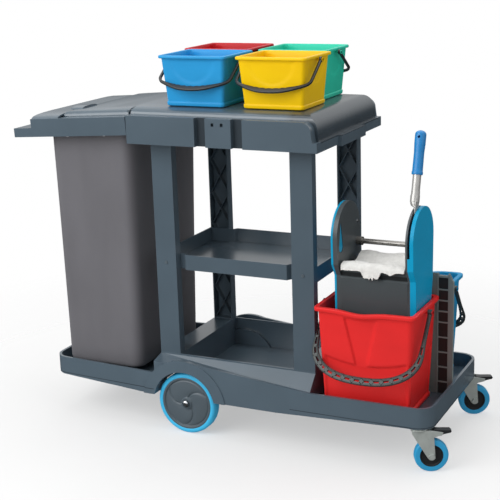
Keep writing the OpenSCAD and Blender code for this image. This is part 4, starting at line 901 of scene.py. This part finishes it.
def hub_panels(bm, side):
    """Sinks three curved grooves into a hub's face and swells the panels between them."""
    third = 2 * math.pi / 3
    for v in bm.verts:
        radius = math.hypot(v.co.x, v.co.y)
        if v.co.z < 0.015 or not 0.02 < radius < 0.0745:
            continue
        turn = math.atan2(v.co.y, v.co.x) - side * 0.95 * (radius / 0.075) ** 1.7
        apart = (turn / third + 0.35) % 1.0
        gap = min(apart, 1 - apart) * third * radius
        v.co.z -= 0.0032 * fall(gap, 0.0012, 0.0045) - 0.0012 * smooth_step(gap, 0.004, 0.02)


class CART_OT_large_wheels(bpy.types.Operator):
    """Make the large wheels: thin tyres and hubs with three curved panels"""

    bl_idname = "janitor_cart.large_wheels"
    bl_label = "Large Wheels"

    def execute(self, context):
        for side, name in ((-1.0, "right"), (1.0, "left")):
            tyre, hub = turned(TYRE_LINE, 128), turned(HUB_LINE, 168)
            hub_panels(hub, side)
            for bm in (tyre, hub):
                bmesh.ops.transform(bm, matrix=wheel_place(f"{name}_wheel_spin", side), verts=bm.verts)
            stand_in(tyre, f"{name}_solid_tyre", f"{name}_tyre", "tyre_blue", 45.0)
            stand_in(hub, f"{name}_wheel_hub", f"{name}_hub", "hub_grey", 40.0)
        return {"FINISHED"}


class CART_OT_casters(bpy.types.Operator):
    """Give the casters their blue treads, black hubs and brake pedals"""

    bl_idname = "janitor_cart.casters"
    bl_label = "Casters"

    def execute(self, context):
        for name in ("right", "left"):
            moulding(f"{name}_caster_tread", f"{name}_caster_tyre", "tread_blue")
            moulding(f"{name}_caster_hub", f"{name}_caster_core", "black_plastic")
            moulding(f"{name}_pedal", f"{name}_brake_lever", "black_plastic")
        return {"FINISHED"}


# Bag and cloth


class CART_OT_waste_bag(bpy.types.Operator):
    """Make the waste bag as one hanging shell of coated cloth with its folds"""

    bl_idname = "janitor_cart.waste_bag"
    bl_label = "Waste Bag"

    def execute(self, context):
        low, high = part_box("waste_bag")
        tall = high.z - low.z
        size = (0.253, 0.376)
        bm = bmesh.new()
        outline = plate(bm, *size, 0.03, 7, 34, 44)
        steps = [(0.006, 0.0008), (0.0102, 0.004), (0.0118, 0.009), (0.012, 0.016)]
        steps += rows(steps[-1], (0.0333, tall), 72)
        raise_wall(bm, outline, *size, steps)
        deep, slump = sizes().bag_fold, 0.006
        for v in bm.verts:
            up = v.co.z / tall
            v.co.x *= (0.277 + 0.016 * up) / (0.277 + 0.0426 * up)
            half = (0.1385 + 0.008 * up, 0.2 + 0.0213 * up)
            flat = (v.co.x / half[0], v.co.y / half[1])
            end = abs(flat[0]) > abs(flat[1])
            v.co += Vector((low.x + half[0], 0.0, low.z))
            spot = Vector((v.co.x * 9.0, v.co.y * 9.0, v.co.z * 1.3))
            pleat = soft(v.co.x * 30.0, v.co.y * 30.0, v.co.z * 1.6) * smooth_step(up, 0.6, 1.0)
            slack = soft(*spot) + 0.5 * soft(*(spot * 2.1 + Vector((3.0, 7.0, 1.0))))
            free = 1 - flat[1 if end else 0] ** 2
            hold = smooth_step(1 - up, 0.0, 0.05) * smooth_step(up, 0.004, 0.12)
            v.co += outward(*flat, end) * ((slack + pleat) * deep - slump * math.sin(math.pi * up)) * free * hold
        bag = piece_from(bm, "hanging_bag", 80.0)
        wall = bag.modifiers.new("Cloth", "SOLIDIFY")
        wall.thickness, wall.offset = sizes().bag_cloth, -1.0
        settle(bag, "waste_bag", "bag_fabric")
        return {"FINISHED"}


# The mop cloth's line as (share of the way, y, z), from the press tube to the front
CLOTH_LINE = (
    (0.0, -0.058, 0.598), (0.10, -0.066, 0.602), (0.22, -0.084, 0.595), (0.34, -0.104, 0.585), (0.46, -0.126, 0.579),
    (0.56, -0.148, 0.583), (0.66, -0.168, 0.594), (0.74, -0.182, 0.5985), (0.81, -0.194, 0.598),
    (0.87, -0.2025, 0.594), (0.92, -0.2055, 0.588), (1.0, -0.2065, 0.578),
)


class CART_OT_mop_cloth(bpy.types.Operator):
    """Lay the mop's cotton over the press tube and the gate, with its folds and front tufts"""

    bl_idname = "janitor_cart.mop_cloth"
    bl_label = "Mop Cloth"

    def execute(self, context):
        low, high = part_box("mop_cloth")
        bm = bmesh.new()
        bmesh.ops.create_grid(bm, x_segments=210, y_segments=110, size=0.5)
        for v in bm.verts:
            u, t = v.co.x + 0.5, 0.5 - v.co.y
            x = low.x + 0.001 + 0.011 * fall(t, 0.3, 0.6) * (1 - u) + (high.x - low.x - 0.002) * u
            a, b = next((a, b) for a, b in zip(CLOTH_LINE, CLOTH_LINE[1:]) if t <= b[0] + 1e-6)
            share = (t - a[0]) / (b[0] - a[0])
            y, z = a[1] + (b[1] - a[1]) * share, a[2] + (b[2] - a[2]) * share
            across = x - low.x
            ragged = soft(across * 210.0, 0.0, 5.0) + 0.5 * soft(across * 520.0, 0.0, 2.0)
            tuft = 0.021 / (1 + abs((across - 0.093) / 0.0265) ** 16) * (1 + 0.45 * ragged)
            tuft += 0.008 * bell(across, 0.152, 0.012) - 0.006 * u + 0.0012 * ragged
            z -= tuft * smooth_step(t, 0.88, 1.0)
            free = smooth_step(t, 0.0, 0.06) * fall(t, 0.84, 0.92)
            fold = soft(across * 28.0, t * 7.0, 1.7) + 0.6 * soft(across * 75.0, t * 11.0, 4.0)
            sink = bell(t, 0.47, 0.07) * smooth_step(across, 0.03, 0.06) * fall(across, 0.09, 0.13)
            z += 0.0032 * fold * free - 0.02 * sink
            y -= 0.0022 * soft(across * 90.0, t * 3.0, 8.0) * smooth_step(t, 0.9, 0.97)
            z -= 0.004 * bell(across, 0.098, 0.03) * fall(t, 0.1, 0.3)
            v.co = Vector((x, y, z))
        bmesh.ops.smooth_vert(bm, verts=bm.verts, factor=0.2, use_axis_x=True, use_axis_y=True, use_axis_z=True)
        bmesh.ops.recalc_face_normals(bm, faces=bm.faces)
        cloth = piece_from(bm, "cotton_mop_cloth", 180.0)
        wall = cloth.modifiers.new("Pile", "SOLIDIFY")
        wall.thickness, wall.offset = sizes().cloth, 0.0
        settle(cloth, "mop_cloth", "cloth_white")
        return {"FINISHED"}


# Wringer


def thick_plate():
    """The wringer's frame, its left plate made thicker."""
    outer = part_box("wringer_frame")[0].x
    bm = merged("wringer_frame")
    edge = [v for v in bm.verts if v.co.x < outer + 0.0035]
    bmesh.ops.translate(bm, vec=(-0.0068, 0.0, 0.0), verts=edge)
    stand_in(bm, "wringer_plates", "wringer_frame", "wringer_grey")


def drop_cover():
    """The left cover, made thinner, with a raised drop on its inner face."""
    thick, middle, radius, tip, rise = 0.0062, (-0.186, 0.640), 0.0145, 0.712, 0.0117
    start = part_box("left_cover")[0].x
    face = start + 0.006
    bm = merged("left_cover")
    inner = [v for v in bm.verts if v.co.x > face]
    bmesh.ops.scale(bm, vec=(0.0, 1.0, 1.0), space=Matrix.Translation((-start - thick, 0.0, 0.0)), verts=inner)
    turns = [math.radians(15 * i - 90) for i in range(13)]
    drop = [(middle[0] + radius * math.sin(a), middle[1] - radius * math.cos(a)) for a in turns]
    corners = [bm.verts.new((face, y, z)) for y, z in drop + [(-0.1845, tip), (-0.1875, tip)]]
    flat = bmesh.ops.contextual_create(bm, geom=corners)["faces"]
    raised = bmesh.ops.extrude_face_region(bm, geom=flat)["geom"]
    corners = [g for g in raised if isinstance(g, bmesh.types.BMVert)]
    bmesh.ops.translate(bm, vec=(rise, 0.0, 0.0), verts=corners)
    bmesh.ops.recalc_face_normals(bm, faces=bm.faces)
    stand_in(bm, "ear_cover_left", "left_cover", "wringer_blue")


def flat_foot():
    """The lever's hub with the foot of the tube, pressed flat towards its end."""
    round_tube = 0.0125
    low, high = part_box("lever_tube")
    tube = (low + high) / 2
    grip = sum(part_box("lever_grip"), Vector()) / 2
    way = Vector((0.0, grip.y - tube.y, grip.z - tube.z)).normalized()
    foot = tube - way * (high.z - low.z - 0.024 * abs(way.y)) / 2 / way.z
    gap = tube.x + 0.0055
    bm = merged("lever_hub")
    verts = bmesh.ops.create_circle(bm, segments=28, radius=1.0)["verts"]
    places = []
    for far, x, thin, broad in (
        (-0.038, gap, 0.0029, 0.0115), (-0.025, gap, 0.0029, round_tube), (-0.019, gap - 0.001, 0.005, round_tube),
        (-0.014, tube.x + 0.001, 0.0105, round_tube), (-0.008, tube.x, round_tube, round_tube),
        (0.028, tube.x, round_tube, round_tube), (0.03, tube.x, 0.0121, 0.0121),
    ):
        spot = Matrix.Translation((x, foot.y, foot.z)) @ Matrix.Translation(way * far)
        places.append(spot @ upright(way) @ Matrix.Diagonal((thin, broad, 1.0, 1.0)))
    lofted(bm, verts, list(dict.fromkeys(e for v in verts for e in v.link_edges)), places)
    stand_in(bm, "lever_foot", "lever_hub", "wringer_grey", 40.0, "lever_steel")


class CART_OT_wringer(bpy.types.Operator):
    """Make the wringer's plates, covers, gate and lever"""

    bl_idname = "janitor_cart.wringer"
    bl_label = "Wringer"

    def execute(self, context):
        thick_plate()
        drop_cover()
        moulding("right_cover", "ear_cover_right", "wringer_blue")
        moulding("front_gate", "wringer_gate", "wringer_grey", finish="gate_grey")
        flat_foot()
        moulding("lever_grip", "lever_handle", "grip_blue")
        dress("wringer_grey", "press_gear", "press_plate")
        return {"FINISHED"}


# Stage


WHITE = (1.0, 1.0, 1.0, 1.0)
SOFTBOXES = (
    ("key_softbox", (-1.6, -3.0, 2.6), (0.0, 0.0, 0.6), 3.2, 112.0),
    ("top_softbox", (0.1, 0.6, 3.6), (0.0, 0.0, 0.6), 3.0, 45.0),
    ("side_softbox", (3.4, -0.6, 2.0), (0.2, 0.0, 0.6), 1.8, 7.0),
)
CAMERA_PLACE = (1.606839, -3.319474, 1.528484)
CAMERA_TURN, CAMERA_RISE, CAMERA_ROLL = (math.radians(angle) for angle in (26.11, 14.803, -1.799))


def white_surround(scene):
    """A surround that is white to the camera, soft as a lamp and dark low down in mirrored light."""
    scene.world = bpy.data.worlds.new("surround")
    nodes = Nodes(scene.world, "Generated")
    rays = nodes.add("ShaderNodeLightPath").outputs
    under = nodes.tree.nodes["Background"]
    nodes.feed(under.inputs["Color"], WHITE)
    nodes.feed(under.inputs["Strength"], 0.45)
    mirrored = nodes.add("ShaderNodeBackground")
    nodes.join(nodes.spread(nodes.axes()["Z"], -0.02, 0.3, 0.04, 1.0), mirrored.inputs["Color"])
    seen = nodes.add("ShaderNodeBackground", Color=WHITE)
    for share, over in (("Is Glossy Ray", mirrored), ("Is Camera Ray", seen), ("Is Transmission Ray", seen)):
        under = nodes.blend(rays[share], under, over)
    nodes.join(under.outputs[0], nodes.tree.nodes["World Output"].inputs["Surface"])


def pale_floor(scene):
    """A pale floor that fades out away from the cart."""
    bm = bmesh.new()
    bmesh.ops.create_circle(bm, cap_ends=True, segments=96, radius=4.0)
    floor = piece_from(bm, "studio_floor", 35.0)
    floor.data.transform(Matrix.Translation((0.0, 0.0, -0.0004)))
    pale = Finish("pale_floor")
    dapple = pale.ramp(pale.noise(3.0, 3.0), (0.3, (0.93, 0.93, 0.93)), (0.7, (0.95, 0.95, 0.95)))
    pale.show(Base_Color=dapple, Roughness=0.85, Specular_IOR_Level=0.1)
    far = pale.add("ShaderNodeVectorMath", operation="LENGTH")
    pale.join(pale.place, far.inputs[0])
    fade = pale.spread(far.outputs["Value"], 0.5, 2.0, 0.45, 1.0)
    out = pale.blend(fade, pale.shader, pale.add("ShaderNodeBsdfTransparent"))
    pale.join(out.outputs[0], pale.tree.nodes["Material Output"].inputs["Surface"])
    floor.data.materials.append(pale.material)
    floor.visible_glossy = False
    scene.collection.objects.link(floor)


def softboxes(scene):
    """Square soft lamps, each aimed at a point of the cart."""
    for name, place, aim, wide, power in SOFTBOXES:
        lamp = bpy.data.lights.new(name, "AREA")
        lamp.shape, lamp.size, lamp.energy = "SQUARE", wide, power
        holder = bpy.data.objects.new(name, lamp)
        holder.location = place
        holder.rotation_euler = (Vector(aim) - Vector(place)).to_track_quat("-Z", "Y").to_euler()
        scene.collection.objects.link(holder)


def photo_camera(scene):
    """The camera, turned about the cart, raised and slightly rolled."""
    flat = math.cos(CAMERA_RISE)
    back = Vector((math.sin(CAMERA_TURN) * flat, -math.cos(CAMERA_TURN) * flat, math.sin(CAMERA_RISE)))
    right = Vector((math.cos(CAMERA_TURN), math.sin(CAMERA_TURN), 0.0))
    up = back.cross(right)
    across = right * math.cos(CAMERA_ROLL) + up * math.sin(CAMERA_ROLL)
    above = up * math.cos(CAMERA_ROLL) - right * math.sin(CAMERA_ROLL)
    camera = bpy.data.cameras.new("photo_camera")
    camera.lens, camera.sensor_width = 86.236, 36.0
    holder = bpy.data.objects.new("photo_camera", camera)
    matrix = Matrix((across, above, back)).transposed().to_4x4()
    matrix.translation = CAMERA_PLACE
    holder.matrix_world = matrix
    scene.collection.objects.link(holder)
    scene.camera = holder


class CART_OT_stage(bpy.types.Operator):
    """Set the pale floor, the soft lamps, the white surround and the camera"""

    bl_idname = "janitor_cart.stage"
    bl_label = "Stage"

    def execute(self, context):
        context.scene.view_settings.view_transform = "Standard"
        for part in (white_surround, pale_floor, softboxes, photo_camera):
            part(context.scene)
        return {"FINISHED"}


class CART_PT_sidebar(bpy.types.Panel):
    """Steps that dress the cart, with the sizes and colours they use"""

    bl_idname = "CART_PT_sidebar"
    bl_label = "Janitor Cart"
    bl_space_type = "VIEW_3D"
    bl_region_type = "UI"
    bl_category = "Cart"

    def draw(self, context):
        for step in STEPS:
            self.layout.operator(step.bl_idname)
        for group in (context.scene.janitor_cart_sizes, context.scene.janitor_cart_colours):
            box = self.layout.box()
            for key in group.bl_rna.properties.keys():
                if key not in ("rna_type", "name"):
                    box.prop(group, key)


STEPS = (
    CART_OT_stage,
    CART_OT_moulded_body,
    CART_OT_metalwork,
    CART_OT_large_wheels,
    CART_OT_casters,
    CART_OT_waste_bag,
    CART_OT_small_buckets,
    CART_OT_small_bails,
    CART_OT_mop_buckets,
    CART_OT_mop_bails,
    CART_OT_wringer,
    CART_OT_mop_cloth,
)
CLASSES = (CartColours, CartSizes, *STEPS, CART_PT_sidebar)


def register():
    for cls in CLASSES:
        bpy.utils.register_class(cls)
    bpy.types.Scene.janitor_cart_colours = PointerProperty(type=CartColours)
    bpy.types.Scene.janitor_cart_sizes = PointerProperty(type=CartSizes)


def unregister():
    del bpy.types.Scene.janitor_cart_sizes
    del bpy.types.Scene.janitor_cart_colours
    for cls in reversed(CLASSES):
        bpy.utils.unregister_class(cls)


def main():
    register()
    for step in STEPS:
        group, call = step.bl_idname.split(".")
        getattr(getattr(bpy.ops, group), call)()


if __name__ == "__main__":
    main()
